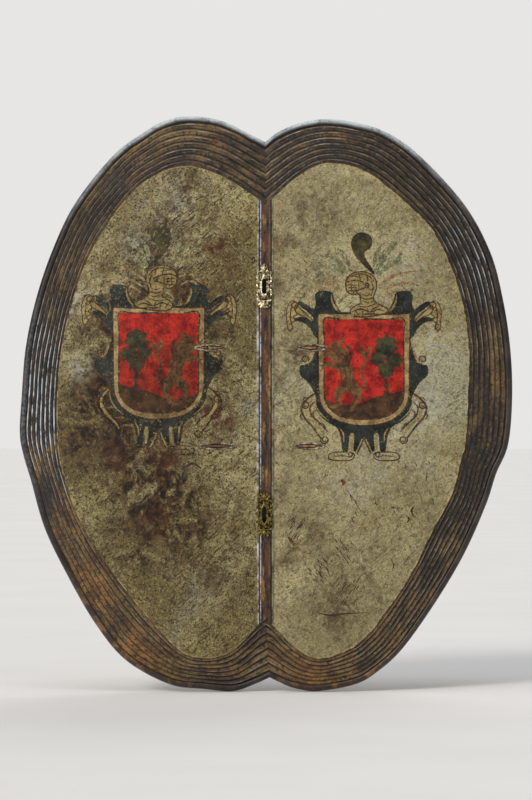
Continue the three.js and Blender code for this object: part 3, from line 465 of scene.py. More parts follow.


# Tanned hide stained near black, then rubbed for many years. Its hollows are dark and dull with dirt and
# painted shade, its slopes go to olive and orange tan in streaks along the rim, and its crests are worn
# paler, with a greasy grey painted highlight that turns blue-white on the left and right of the border.
def border_colour(tree):
    streaks = add(tree, "ShaderNodeVectorMath", {"operation": "MULTIPLY"},
                  {0: border_coordinates(tree), 1: (.3, 1, 1)}).outputs[0]
    dark = coats(tree, "#1b140f", ("#3a2d23", patches(tree, 90, .35, .7, 6, .6, 0, streaks)))
    amber = coats(tree, "#64380f", ("#ab763a", patches(tree, 44, .42, .6, 8, .74)))
    warm = coats(
        tree, "#372918",
        ("#765e37", patches(tree, 70, .36, .64, 6, .65, 0, streaks)),
        ("#693f1b", patches(tree, 16, .58, .74, 5, .6, .5)),
        (amber, places(tree, worn_orange), patches(tree, 24, .36, .56, 8, .74)))
    rubbing = add(tree, "ShaderNodeTexNoise", None, {
        "Vector": streaks, "Scale": 30, "Detail": 8, "Roughness": .7, "Distortion": .5}).outputs["Fac"]
    worn = add(tree, "ShaderNodeMath", {"operation": "ADD"}, {
        0: rubbing, 1: places(tree, worn_to_tan_and_right_shade)}).outputs[0]
    worn_through = add(tree, "ShaderNodeMapRange", {"interpolation_type": "SMOOTHSTEP"}, {
        "Value": worn, "From Min": .46, "From Max": .59}).outputs["Result"]
    slopes = coats(
        tree, dark,
        (warm, worn_through),
        ("#a0864f", speckle(tree, 220, .46, .39), .4),
        ("#0a0604", speckle(tree, 230, .5, .575), .94))
    # Painted highlight: a blue-white sheen painted on the crests at the left and right of the border
    right_painted_sheen = add(tree, "ShaderNodeMath", {"operation": "MULTIPLY"}, {
        0: near(tree, 290, 190, 110), 1: .55}).outputs[0]
    painted_sheen = add(tree, "ShaderNodeMath", {"operation": "ADD", "use_clamp": True}, {
        0: near(tree, -320, -20, 190), 1: right_painted_sheen}).outputs[0]
    # Painted highlight and wear: crests painted greasy grey, and blue-white where the painted sheen lies
    crest_wear_and_highlight = coats(
        tree, "#57452d",
        ("#8a8370", patches(tree, 40, .4, .62, 6, .7)),
        ("#b9c4cc", painted_sheen, patches(tree, 60, .26, .5, 8, .74)))
    crests = coats(tree, slopes, (crest_wear_and_highlight, patches(tree, 150, .4, .55, 5, .78, 0, streaks)))
    rise = add(tree, "ShaderNodeAttribute", {"attribute_name": "ridge_rise"}).outputs["Fac"]
    # The painted sheen also widens the band that is painted as crest
    painted_sheen_spread = add(tree, "ShaderNodeMath", {"operation": "MULTIPLY"}, {0: painted_sheen, 1: .16}).outputs[0]
    crest_rise_and_sheen = add(tree, "ShaderNodeMath", {"operation": "ADD"}, {0: rise, 1: painted_sheen_spread}).outputs[0]
    on_crest = add(tree, "ShaderNodeMapRange", {"interpolation_type": "SMOOTHSTEP"}, {
        "Value": crest_rise_and_sheen, "From Min": .86, "From Max": .99}).outputs["Result"]
    # Painted shade and dirt: the grooves between the ridges are painted near black
    return coats(tree, slopes, (crests, on_crest), ("#060302", where(tree, "ridge_rise", .16, -.1)))


def border_roughness(tree):
    rise = add(tree, "ShaderNodeAttribute", {"attribute_name": "ridge_rise"}).outputs["Fac"]
    polished = add(tree, "ShaderNodeMath", {"operation": "MULTIPLY"}, {
        0: rise, 1: patches(tree, 60, .3, .6, 6)}).outputs[0]
    return add(tree, "ShaderNodeMapRange", None, {
        "Value": polished, "To Min": .52, "To Max": .26}).outputs["Result"]


border_leather = material("stained_border_leather", border_colour, border_roughness, grain(420, 8, .75), .4,
                          specular=.4)
front, rises, depths, runs = (across_both(lambda lobe, n=n: ridged_front(lobe)[n]) for n in range(4))
rear = across_both(lambda lobe: shell(lobe, back_ply + layer_gap))
front_mesh, kept = slab(front, rear)
behind = rear.shape[0] * rear.shape[1]
front_hide = finished(
    front_mesh, "front_hide_leather", "shield_body", border_leather, ["front_hide"],
    {"ridge_rise": np.concatenate([rises.ravel(), np.zeros(behind)])[kept],
     "in_from_rim": np.concatenate([depths.ravel() * mm, np.zeros(behind)])[kept],
     "along_rim": np.concatenate([runs.ravel() * mm, np.zeros(behind)])[kept]})

# The rim binding: a strip of thin dark leather folded over the edge of both plies and glued down. Hands and
# walls have polished it, so it is grey-brown and smooth, with a pale painted highlight along the top.
binding_front = [  # in from the outline, height over the front hide
    (binding_lip, .35), (6.9, 1.5), (5.6, 2.25), (4.4, 2.6), (3.2, 2.65), (2.1, 2.3), (1.1, 1.3), (.4, -.2),
    (0.0, -2.2)]
binding_rear_flat = (1.8, 3.9, 6.0)


def binding_ring(lobe):
    """Rings of (distance in from the outline, height) round the fold at each column."""
    over = plies + binding_clearance

    def base(distance):
        return lobe.height((distance / lobe.border)[:, None])[:, 0]

    def corner(distance, height):
        return np.stack([np.full_like(lobe.border, distance), height + 0 * lobe.border], -1)

    ring = [corner(d, base(d) * (d > 1) + base(0.0) * (d <= 1) + over + rise) for d, rise in binding_front]
    ring += [corner(0.0, lip_rise + .35 * plies), corner(.3, lip_rise - .7), corner(.9, 1.0)]
    ring += [corner(d, 0.0) for d in binding_rear_flat]
    ring += [corner(7.2, base(7.2) - binding_clearance - 1.7),
             corner(binding_lip, base(binding_lip) - binding_clearance - .9)]
    ring += [corner(d, base(d) - binding_clearance) for d in (binding_lip, binding_wall)]
    ring += [corner(d, base(d) + over) for d in (binding_wall, binding_lip)]
    ring = np.stack(ring, 1)
    stations = ring[..., 0] / lobe.border[:, None]
    return placed(lobe.flat(stations), ring[..., 1]), ring[..., 0]


# Thin leather polished by hands. It looks smooth and grey-brown with soft highlights, tan where it is worn
# at the foot, with a pale grey painted highlight along the top and blue-grey painted streaks on the left.
def binding_colour(tree):
    worn = add(tree, "ShaderNodeMath", {"operation": "ADD", "use_clamp": True}, {
        0: near(tree, -190, -350, 170), 1: near(tree, 130, -380, 170)}).outputs[0]
    top_painted_highlight = add(tree, "ShaderNodeMath", {"operation": "ADD", "use_clamp": True}, {
        0: near(tree, -110, 380, 230), 1: near(tree, 120, 380, 210)}).outputs[0]
    broken = patches(tree, 60, .26, .56, 8, .74)
    tan = coats(tree, "#3c2c1e", ("#7c5c34", patches(tree, 55, .48, .6, 7, .7)))
    return coats(
        tree, "#1c1612",
        ("#3c322a", patches(tree, 30, .4, .64, 7, .65)),
        (tan, worn),
        # Painted highlight: the top of the binding is painted pale grey, brightest at its outer edge
        ("#6f7678", top_painted_highlight, broken, where(tree, "in_from_edge", 8.5, 4.5)),
        ("#c3cacb", top_painted_highlight, broken, where(tree, "in_from_edge", 6.5, 1.5)),
        # Painted highlight: blue-grey streaks on the binding's left side
        ("#757b80", near(tree, -330, -20, 210), patches(tree, 190, .44, .6, 6, .74), .45),
        ("#100b08", speckle(tree, 300, .52, .62), .7))


binding_leather = material("rim_binding_leather", binding_colour, between(.34, .5, 30), grain(300, 8, .7), .4,
                           specular=.4)
(left_ring, left_in), (right_ring, right_in) = (binding_ring(lobe) for lobe in lobes)
fold_points = np.concatenate([left_ring[:-1], right_ring[:0:-1]])
fold_depths = np.concatenate([left_in[:-1], right_in[:0:-1]])
index = np.arange(fold_points.shape[0] * fold_points.shape[1]).reshape(fold_points.shape[:2])
index = np.concatenate([index, index[:1]])
index = np.concatenate([index, index[:, :1]], axis=1)
binding_mesh, kept = closed_mesh(fold_points, quads(index))
finished(binding_mesh, "rim_binding_leather", "shield_body", binding_leather,
         ["rim_binding"], {"in_from_edge": fold_depths.ravel()[kept]})

# The two face panels: a thin skin sized with glue and chalk and painted buff, one on each lobe. The paint
# is crazed, freckled with dark pits, and stained brown, most of all low on the left. Its edge is a fine
# bead, and a rounder bead stands beside the spine.
panel_base, panel_skin = plies + layer_gap, 1.6
edge_bead, spine_bead, bead_width, bead_foot = .7, 1.5, 3.0, 4.8
panel_columns, squeezed_below = 60, 14.0


def panel_front(lobe):
    """The skin's face. Its columns close up where the field is too narrow for both beads."""
    rows = lobe.field_rows
    near_edge = np.array([0, .4, .9, 1.5, 2.2, 3.0, 4.2])
    near_spine = np.array([4.8, 4.0, 3.2, 2.6, 2.1, 1.5, .9, .4, 0])
    inner = np.linspace(0, 1, panel_columns)[1:-1]
    field = lobe.field[:, None]
    squeezed = np.minimum(1, field / squeezed_below)
    start, finish = near_edge[-1] * squeezed, field - near_spine[0] * squeezed
    distance = np.concatenate(
        [near_edge * squeezed, start + (finish - start) * inner, field - near_spine * squeezed], axis=1)
    stations = 1 + distance / np.maximum(field, 1e-6)
    from_spine = field - distance
    edge = edge_bead * np.clip(1 - distance / bead_width, 0, 1) ** 1.5
    beside = np.clip(from_spine / (.5 * bead_width), 0, 1)
    foot = np.clip((bead_foot - from_spine) / (bead_foot - .5 * bead_width), 0, 1)
    bead = spine_bead * (.5 + .5 * np.sin(beside * np.pi / 2)) * (3 * foot ** 2 - 2 * foot ** 3)
    flat = lobe.flat(np.clip(stations, 1, 2))
    height = lobe.height(stations) + swell(flat) + panel_base + panel_skin + (edge + bead) * squeezed
    shares = edge * squeezed / edge_bead, bead * squeezed / spine_bead
    return placed(flat, height)[rows], [share[rows].ravel() for share in shares]


def panel_back(lobe):
    stations = np.tile(np.linspace(1, 2, field_columns), (len(lobe.dome), 1))
    flat = lobe.flat(stations)
    return placed(flat, lobe.height(stations) + swell(flat) + panel_base)[lobe.field_rows]


def buff_ground(tree):
    """The bare painted ground of both panels, also seen where the arms have worn through."""
    seen = add(tree, "ShaderNodeTexCoord").outputs["Object"]
    leaning = add(tree, "ShaderNodeVectorRotate", {"rotation_type": "Y_AXIS"}, {
        "Vector": seen, "Angle": math.radians(40)}).outputs[0]
    brushed_on = add(tree, "ShaderNodeVectorMath", {"operation": "MULTIPLY"}, {
        0: leaning, 1: (.16, 1, 1)}).outputs[0]
    return coats(
        tree, "#7c6f42",
        ("#a89c6e", patches(tree, 7, .4, .6, 7, .66, .6)),
        ("#5f4e2b", patches(tree, 48, .48, .6, 8, .76, .6), .72),
        ("#979a88", patches(tree, 6, .55, .7, 6, .6), .6),
        ("#836431", patches(tree, 19, .58, .72, 7, .65, .5)),
        ("#d2caa2", patches(tree, 330, .48, .34, 3, .7), .4),
        ("#42351b", patches(tree, 16, .36, .6, 5, .65), patches(tree, 400, .56, .66, 2, .5, 0, brushed_on)),
        ("#4a3d22", speckle(tree, 130, .52, .6), .65),
        ("#3d321c", cracks(tree, 260.0, .1, .02), .45),
        ("#5e3d20", patches(tree, 150, .62, .68, 3, .65), .75),
        ("#1f160b", patches(tree, 430, .58, .66, 1, .5), .85),
        ("#150f08", speckle(tree, 250, .545, .6), .92))


def stains_and_shade(tree, colour, spots):
    """Adds brown and black spots at places given as x, z, radius and strength: stains, and on the right panel
    painted shade.
    """
    if not spots:
        return colour
    stain_and_shade_share = places(tree, spots)
    broken = patches(tree, 38, .38, .56, 8, .78, .8)
    return coats(
        tree, colour,
        ("#40290f", stain_and_shade_share, broken, .88),
        ("#120b06", stain_and_shade_share, broken, patches(tree, 80, .45, .56, 8, .78, .5)))


left_stains = [(-165, -95, 100, .8), (-130, -150, 100, .8), (-205, 20, 80, .95), (-150, 60, 190, .7),
               (-80, -230, 140, .5), (-240, -60, 100, .85), (-130, 130, 140, .6), (-235, 90, 50, .5),
               (-190, -200, 80, .6), (-110, 260, 70, .6), (-170, 200, 60, .4), (-100, 310, 50, .5)]
left_rust = [(-56, -30, 30, 1), (-80, -20, 24, .8), (-60, 206, 30, 1), (-44, 170, 22, .7),
             (-128, -78, 44, .8), (-200, -80, 34, .6), (-70, 236, 18, .8), (-150, -170, 36, .6),
             (-96, 328, 14, .8)]
# The right panel's stains, and a row of painted shade in a soft band beside the spine bead
right_stains_and_roll_shade = [(75, 160, 50, .5), (60, -185, 60, .5), (120, -240, 70, .4), (50, 60, 50, .35),
                (170, 60, 90, .25), (85, -290, 60, .5), (60, 250, 70, .45), (18, 80, 26, .5),
                (16, 20, 24, .5), (18, -60, 26, .6), (16, -130, 26, .6), (20, -220, 30, .5),
                (18, 150, 26, .6), (22, 210, 30, .5), (36, 0, 36, .4), (38, 56, 34, .4), (36, -50, 34, .35)]
right_rust = [(50, 240, 12, .9), (40, -195, 12, .9), (104, -114, 7, 1), (68, -186, 22, .5),
              (100, -262, 22, .5), (120, -120, 12, .4), (30, 100, 20, .4)]
# Painted highlights: pale glint spots on the panels, as x, z, radius and strength
painted_glint_spots = [(-262, 132, 38, .9), (-250, 40, 34, .6), (150, -60, 60, .6), (215, -20, 60, .8),
                  (225, 60, 50, .6), (120, -120, 50, .5), (60, 20, 30, .5), (190, 180, 60, .4),
                  (210, -90, 40, .5)]


# Buff paint in glue over a chalk ground, brushed on and long since dried. It looks matt and mottled, crazed
# into fine cells, with dark pits, pale painted glints in a few spots and a painted highlight on the spine
# bead.
def panel_colour(stains, rust, wash, bead_dark, bead_highlight):
    """The ground, paler by the share washed with chalk, with stains, painted shade, rust, painted glints and
    beads.
    """
    def colour(tree):
        washed = coats(tree, buff_ground(tree), ("#bfb78f", speckle(tree, 120, .66, .4), wash))
        rusty = coats(tree, "#1d0f07", ("#5a2f18", grain(200, 8, .8)(tree)))
        edge_line = coats(tree, "#4a351c", ("#b39a62", patches(tree, 90, .42, .6, 6, .7)))
        # Painted highlight on the bead beside the spine, with grime specks over it
        grimy_highlit_bead = coats(
            tree, bead_dark,
            (bead_highlight, patches(tree, 55, .4, .6, 8, .78)),
            ("#2a1d10", speckle(tree, 260, .52, .6), .8))
        return coats(
            tree, stains_and_shade(tree, washed, stains),
            (rusty, places(tree, rust), patches(tree, 60, .4, .56, 8, .78, .6)),
            ("#bcc0b6", places(tree, painted_glint_spots), speckle(tree, 150, .47, .56), .6),
            (edge_line, where(tree, "edge_bead", .3, .8)),
            (grimy_highlit_bead, where(tree, "spine_bead", .12, .5)))
    return colour


def crazing(tree):
    """Sunk lines between small cells of paint, over a fine grain, as a height."""
    return add(tree, "ShaderNodeMath", {"operation": "ADD", "use_clamp": True}, {
        0: cracks(tree, 210.0, 0, .09), 1: grain(480, 8, .75)(tree)}).outputs[0]


panels = {}
# Each side's stains, rust, chalk wash, and its bead's dark tone and painted highlight; the left one is
# brighter
for lobe, side, marks in zip(lobes, ("left", "right"), (
        (left_stains, left_rust, 0, "#5f5138", "#b9b7b4"),
        (right_stains_and_roll_shade, right_rust, .3, "#4d4630", "#88846a"))):
    paint = material(f"painted_{side}_panel", panel_colour(*marks), between(.5, .72, 30), crazing, .35,
                     specular=.25)
    front, (edge_share, bead_share) = panel_front(lobe)
    back = panel_back(lobe)
    mesh, kept = slab(front, back)
    behind = np.zeros(back.shape[0] * back.shape[1])
    panels[side] = finished(mesh, f"{side}_panel_skin", "shield_body", paint,
                            [f"{side}_face_panel"], {
                                "edge_bead": np.concatenate([edge_share, behind])[kept],
                                "spine_bead": np.concatenate([bead_share, behind])[kept]})

# The spine strip: a narrow strip of red-brown leather glued in the channel between the two panels, dark
# with polish and dirt. Its long edges are turned up against the panels' beads.
strip_thickness = 2.2
strip_ridge = [  # station from the panel's edge to the centre line, height of the strip's turned edge
    (2.06, -.5), (2.09, 0), (2.14, .45), (2.22, .68), (2.3, .5), (2.38, .15), (2.5, -.1), (2.75, -.15),
    (3, -.1)]


def strip_layer(raised):
    def make(lobe):
        across, soft = np.array(strip_ridge).T
        stations = np.tile(across, (len(lobe.dome), 1))
        height = lobe.height(stations) + panel_base + raised + soft * (raised > 0)
        return placed(lobe.flat(stations), height)[lobe.field_rows]
    return make


# Leather polished by handling, streaked along its length. It looks dark red-brown with worn tan streaks,
# with painted shade round the plates, and bright broken painted highlights on its turned edges.
def spine_colour(tree):
    lengthwise = add(tree, "ShaderNodeVectorMath", {"operation": "MULTIPLY"}, {
        0: add(tree, "ShaderNodeTexCoord").outputs["Object"], 1: (1, 1, .22)}).outputs[0]
    # Painted shade: the leather round the two plates is painted darker
    painted_shade_round_plates = add(tree, "ShaderNodeMath", {"operation": "ADD", "use_clamp": True}, {
        0: near(tree, 0, 148, 34, .3), 1: near(tree, 0, -158, 34, .3)}).outputs[0]
    return coats(
        tree, "#100704",
        ("#563820", patches(tree, 150, .36, .62, 6, .7, 0, lengthwise)),
        ("#94733f", patches(tree, 90, .53, .63, 8, .78, 0, lengthwise), .85),
        ("#150c07", painted_shade_round_plates, .8),
        # Painted highlight: bright broken streaks on the turned edges
        ("#bcc3cb", patches(tree, 60, .41, .54, 8, .78), where(tree, "turned_edge", .55, .9), .95),
        ("#0f0805", speckle(tree, 260, .52, .62)))


spine_leather = material("spine_leather", spine_colour, between(.3, .5, 50), grain(380, 8, .75), .35,
                         specular=.4)
strip_front, strip_back = across_both(strip_layer(strip_thickness)), across_both(strip_layer(0))
strip_mesh, kept = slab(strip_front, strip_back, end_walls=True)
edge_rises = np.array(strip_ridge)[:, 1].clip(0)
half_strip = edge_rises / edge_rises.max()
# The right edge gets half the share, so its painted highlight is weaker than the left one's
across_strip = np.concatenate([half_strip, .5 * half_strip[-2::-1]])
turned_edge = np.tile(across_strip, len(strip_front.reshape(-1, 3)) // len(across_strip))
spine = finished(strip_mesh, "spine_strip_leather", "shield_body", spine_leather,
                 ["spine_strip"], {"turned_edge": np.concatenate([turned_edge, 0 * turned_edge])[kept]})

# The painted arms: one on each panel, mirror images, in thick size paint that has crazed and flaked. From the
# ground up: a blue-black strapwork cartouche, a cream frame, a red field with a lion rampant and a tree on a
# mount, then a line-drawn helm with a dark plume and faint mantling. The charges are a generic design.
def inside(points, outline):
    x, z = points[:, :1], points[:, 1:]
    a, b = outline, np.roll(outline, -1, axis=0)
    rise = np.where(a[:, 1] == b[:, 1], 1e-9, b[:, 1] - a[:, 1])
    crossed = ((a[:, 1] > z) != (b[:, 1] > z)) & (x < a[:, 0] + (b[:, 0] - a[:, 0]) * (z - a[:, 1]) / rise)
    return crossed.sum(axis=1) % 2 == 1


def in_any(points, outlines):
    return np.any([inside(points, o) for o in outlines], axis=0) if outlines else np.zeros(len(points), bool)


def evenly(outline, spacing):
    """A closed outline with points added so that no two neighbours are further apart than the spacing."""
    made = []
    for a, b in zip(outline, np.roll(outline, -1, axis=0)):
        parts = max(1, math.ceil(np.linalg.norm(b - a) / spacing))
        made += [a + (b - a) * n / parts for n in range(parts)]
    return np.array(made)


def filled(outlines, spacing, holes=()):
    """Flat points and triangles that fill closed outlines, less the holes."""
    solid = [evenly(np.asarray(o, float), spacing) for o in outlines]
    empty = [evenly(np.asarray(o, float), spacing) for o in holes]
    edges, start = [], 0
    for loop in solid + empty:
        edges += [(start + n, start + (n + 1) % len(loop)) for n in range(len(loop))]
        start += len(loop)
    points = np.concatenate(solid + empty)
    low, high = points.min(axis=0), points.max(axis=0)
    x, z = np.meshgrid(np.arange(low[0], high[0], spacing), np.arange(low[1], high[1], spacing * .87))
    x[1::2] += spacing / 2
    spots = np.stack([x.ravel(), z.ravel()], -1)
    spots = spots[in_any(spots, solid) & ~in_any(spots, empty)]
    clear = [np.hypot(*(points - spot).T).min() > spacing * .45 for spot in spots]
    every = np.concatenate([points, spots[np.array(clear, bool)]])
    made, _, faces, *_ = delaunay_2d_cdt([Vector(p) for p in every], edges, [], 0, 1e-4)
    made, faces = np.array([tuple(p) for p in made]), np.array([list(f) for f in faces])
    centres = made[faces].mean(axis=1)
    return made, faces[in_any(centres, solid) & ~in_any(centres, empty)]


def relief(front, back, faces):
    """A closed solid of front and back points over the same triangles, with a wall along every open edge."""
    count, open_edges = len(front), {}
    for a, b, c in faces.tolist():
        for edge in ((a, b), (b, c), (c, a)):
            if open_edges.pop(edge[::-1], None) is None:
                open_edges[edge] = True
    walls = [(b, a, a + count, b + count) for a, b in open_edges]
    rear = (faces[:, ::-1] + count).tolist()
    return closed_mesh(np.concatenate([front, back]), faces.tolist() + rear + walls, weld=1e-7)


def smooth(outline, parts=4):
    """The same closed outline as a curve through its points."""
    outline = np.asarray(outline, float)
    around = np.concatenate([outline[-2:], outline, outline[:3]])
    t = np.linspace(2, len(outline) + 2, parts * len(outline), endpoint=False) / (len(around) - 1)
    return along_curve(around, t)


def both_sides(half):
    """A closed outline from its right half, given from top to bottom."""
    half = np.array(half, float)
    other = half[::-1] * (-1, 1)
    first, end = int(half[-1, 0] == 0), len(other) - int(half[0, 0] == 0)
    return np.concatenate([half, other[first:end]])


left_face, right_face, border_face = (
    BVHTree.FromPolygons([v.co for v in piece.data.vertices], [list(p.vertices) for p in piece.data.polygons])
    for piece in (panels["left"], panels["right"], front_hide))


def on_face(flat, raised):
    """Metres on the painted face or the border at places (x, z) in millimetres, raised by millimetres."""
    made = []
    for (x, z), rise in zip(np.asarray(flat), np.broadcast_to(raised, len(flat))):
        line = Vector((x * mm, -1, z * mm)), Vector((0, 1, 0))
        hit = (right_face if x > 0 else left_face).ray_cast(*line)[0] or border_face.ray_cast(*line)[0]
        made.append((x * mm, hit.y - rise * mm, z * mm))
    return np.array(made)


# Each lace comes through a lens-shaped slit: its middle and half length on the face, in millimetres. The
# slits go through the panels and the paint.
slit_half_height, slit_knife_y = 3.4, (-90, 20)
slits = {"left": [(-73.5, 66, 20.5), (-65.5, -66, 24)], "right": [(63, 66, 19.5), (59, -66, 19)]}


def slit_outline(x, z, half_length):
    turn = np.linspace(0, 2 * np.pi, 48, endpoint=False)
    lens = slit_half_height * np.sin(turn) * (.68 + .32 * np.abs(np.sin(turn)))
    return np.stack([x + half_length * np.cos(turn), z + lens], -1)


def prism(outline, low_y, high_y, to_world=lambda points: points * mm):
    """A closed mesh that carries an outline from one depth to another, to cut with."""
    count = len(outline)
    index = np.arange(2 * count).reshape(2, count)
    sides = quads(np.concatenate([index, index[:, :1]], axis=1))
    rings = [to_world(np.insert(outline, 1, y, axis=1)) for y in (low_y, high_y)]
    return closed_mesh(np.concatenate(rings), sides + [index[0].tolist(), index[1, ::-1].tolist()])[0]


for side, panel in panels.items():
    cut(panel, [prism(slit_outline(*slit), *slit_knife_y) for slit in slits[side]])


# Places on the arms are in photo pixels outwards and down from the top of the red field, which stands at the
# column and row given for each side. A film of paint reaches this far into the skin below it.
photo_scale, photo_middle = 1.354, (265.5, 403.5)
arms_places = {"left": (-1, 159.6, 313.5), "right": (1, 363.2, 319.7), "face": (1, 0, 0)}
paint_sunk = -.06


def arms_flat(points, side):
    outwards, column, row = arms_places[side]
    u, v = np.asarray(points, float).T
    x = (column + outwards * u - photo_middle[0]) * photo_scale
    return np.stack([x, (photo_middle[1] - row - v) * photo_scale + outline_middle_z], -1)


def ragged(outline, reach=.4):
    """An outline whose edge wanders by part of a millimetre, as a loaded brush leaves it."""
    outline = evenly(outline, 1.6)
    x, z = outline.T
    wander = np.stack([np.sin(1.9 * z + 2.3 * np.sin(.7 * x)), np.sin(2.1 * x + 1.7 * np.sin(.9 * z))], -1)
    return outline + reach * wander


def painted(name, outlines, side, level, paint, holes=(), spacing=2.2):
    """A film of paint inside outlines that are given for the right arms and mirrored for the left."""
    shapes, cut_out = ([ragged(arms_flat(o, side)) for o in given] for given in (outlines, holes))
    low, high = np.concatenate(shapes).min(axis=0), np.concatenate(shapes).max(axis=0)
    for x, z, half in slits[side]:
        if (low < (x + half, z + slit_half_height)).all() and (high > (x - half, z - slit_half_height)).all():
            cut_out.append(slit_outline(x, z, half))
    flat, faces = filled(shapes, spacing, cut_out)
    mesh, _ = relief(on_face(flat, level), on_face(flat, paint_sunk), faces)
    return finished(mesh, f"{side}_{name}", "shield_body", paint)


def brushed(name, strokes, side, level, paint, step_level=.004):
    """Brush strokes, each a line of points with its widths in pixels, tapered as the widths say."""
    points, faces = [], []
    for number, (line, widths) in enumerate(strokes):
        t = np.linspace(0, 1, 5 * (len(line) - 1) + 1)
        middle = along_curve(np.array(line, float), t)
        half = np.interp(t, np.linspace(0, 1, len(widths)), widths) / 2
        half *= 1 + .3 * np.sin(2.3 * np.arange(len(t)) + 1.7 * number)
        along = np.gradient(middle, axis=0)
        aside = along[:, ::-1] * (-1, 1) / np.maximum(np.linalg.norm(along, axis=1, keepdims=True), 1e-6)
        rows = np.stack([middle + aside * half[:, None] * share for share in (-1, 0, 1)], 1)
        flat = arms_flat(rows.reshape(-1, 2), side)
        start = sum(len(p) for p in points)
        grid = start + np.arange(len(flat)).reshape(-1, 3)
        rear = grid + len(flat)
        loop = np.concatenate([grid[:, 0], grid[-1, 1:], grid[-2::-1, 2], grid[0, 1:2]])
        walls = np.stack([loop, loop + len(flat)], -1)
        points += [on_face(flat, level + number * step_level), on_face(flat, paint_sunk)]
        faces += quads(grid) + quads(rear[:, ::-1]) + quads(np.concatenate([walls, walls[:1]]))
    mesh, _ = closed_mesh(np.concatenate(points), faces, weld=1e-8)
    return finished(mesh, f"{side}_{name}", "shield_body", paint)


# Paint in glue, brushed on thick and never varnished. It looks matt, with two tones where the brush went
# thin, dark freckles, crazing, and bare spots where it has flaked off the ground.
def aged_paint(name, dark, light, bare, freckles=.5, stains=()):
    """Size paint between two tones, flaked through to the ground over about that share."""
    def colour(tree):
        dirty = coats(
            tree, dark,
            (light, patches(tree, 60, .36, .64, 7, .65)),
            ("#1a120c", speckle(tree, 330, .5, .62), freckles))
        limit = .7 - .22 * bare
        left = patches(tree, 260, limit, limit - .05, 9, .8, .3)
        return stains_and_shade(tree, coats(tree, buff_ground(tree), (dirty, left)), stains)
    return material(name, colour, between(.42, .66, 60), crazing, .3, specular=.2)


# Outlines on the arms. One named as a half is its right side, from top to bottom.
cartouche_half = [
    (0, -7), (22, -7), (27, -11.5), (30, -19), (31.4, -26), (38, -28), (45.4, -27.6), (48.8, -23),
    (47.8, -16), (50, -10), (57, -14.6), (63, -17.6), (66.4, -16), (61.4, -11), (54.6, -6), (50.6, -1),
    (51, 3), (57, -1), (65, -2), (70.6, 1.6), (64, 2.4), (58, 5), (53, 10), (50, 16), (46.4, 20),
    (46.8, 28), (48.6, 36), (52, 43), (58, 45.4), (63, 46), (64, 53), (61.4, 58), (56, 62), (51, 70),
    (47.4, 79), (48, 87), (44, 95), (36, 102.4), (28, 107), (24.4, 113), (22.6, 121), (21.2, 131),
    (16.2, 131.4), (15, 122), (14, 114.6), (10, 114.6), (10, 122), (10.6, 130), (6.4, 132), (3.4, 124),
    (0, 117)]
frame_half = [(0, -5), (30, -4.6), (45, -5), (45.4, 10), (45, 40), (44.8, 70), (43, 83), (37, 93),
              (26, 101), (12, 104.6), (0, 105.4)]
field_half = [(0, 0), (25, .3), (39.6, 0), (39.4, 20), (39.6, 50), (39.4, 74), (37.4, 83), (31, 91.6),
              (20, 97.4), (0, 99.8)]
helm = [(-18, -33), (-17.4, -39), (-12.6, -44.6), (-4, -47), (5, -45.4), (11.4, -39.6), (12.4, -31),
        (10, -24), (9.4, -19.6), (14, -15), (21, -11.6), (24, -8), (19, -5), (9, -3), (-4, -2), (-12, -4),
        (-13.6, -9), (-9, -13), (-3.4, -16), (-3.8, -20), (-5, -24.6), (-11, -24.4), (-16.4, -27)]
plume = [(9, -44.4), (3, -50), (-4, -57), (-10, -65), (-12.8, -74), (-11, -81.6), (-5, -86), (2, -85.6),
         (7.4, -81.6), (8.4, -76), (6.6, -71), (2.6, -68), (.4, -66), (1, -62), (3.6, -57), (7.6, -51),
         (10.6, -46)]
leaf = [(66, -15), (71, -18), (75, -14), (77, -6), (76.4, 2), (75.8, 8), (73.6, 12), (70.8, 8), (71.8, 4),
        (68.4, 1.4), (70, -2.4), (66.6, -5), (68, -9.4)]
band = [(51, 3.4), (52.4, -.6), (58, -5), (63, -10), (66.4, -13), (69, -9.4), (64.4, -4.4), (58, -1.6)]
shoe = [(11, 133), (20, 131.8), (30, 132.4), (35, 135), (34, 139), (26, 140.4), (14, 140), (10, 137)]
mount = [(-39, 80), (-26, 84), (-12, 86), (0, 82), (12, 77), (26, 74), (39.3, 71), (39, 76), (37.2, 83),
         (31, 91.4), (20, 97.2), (0, 99.6), (-20, 97.2), (-31, 91.4), (-37, 83.2)]


def leafy(u, v, radius, turn):
    """A lobed mass of leaves."""
    angle = np.linspace(0, 2 * np.pi, 40, endpoint=False)
    reach = radius * (1 + .13 * np.sin(7 * angle + turn) + .06 * np.sin(11 * angle + 2 * turn))
    return np.stack([u + reach * np.cos(angle), v + .95 * reach * np.sin(angle)], -1)


tree_masses = [leafy(22, 27, 11, 0), leafy(14, 39, 7.6, 1), leafy(30, 41, 8, 2), leafy(22, 50, 8, 3)]
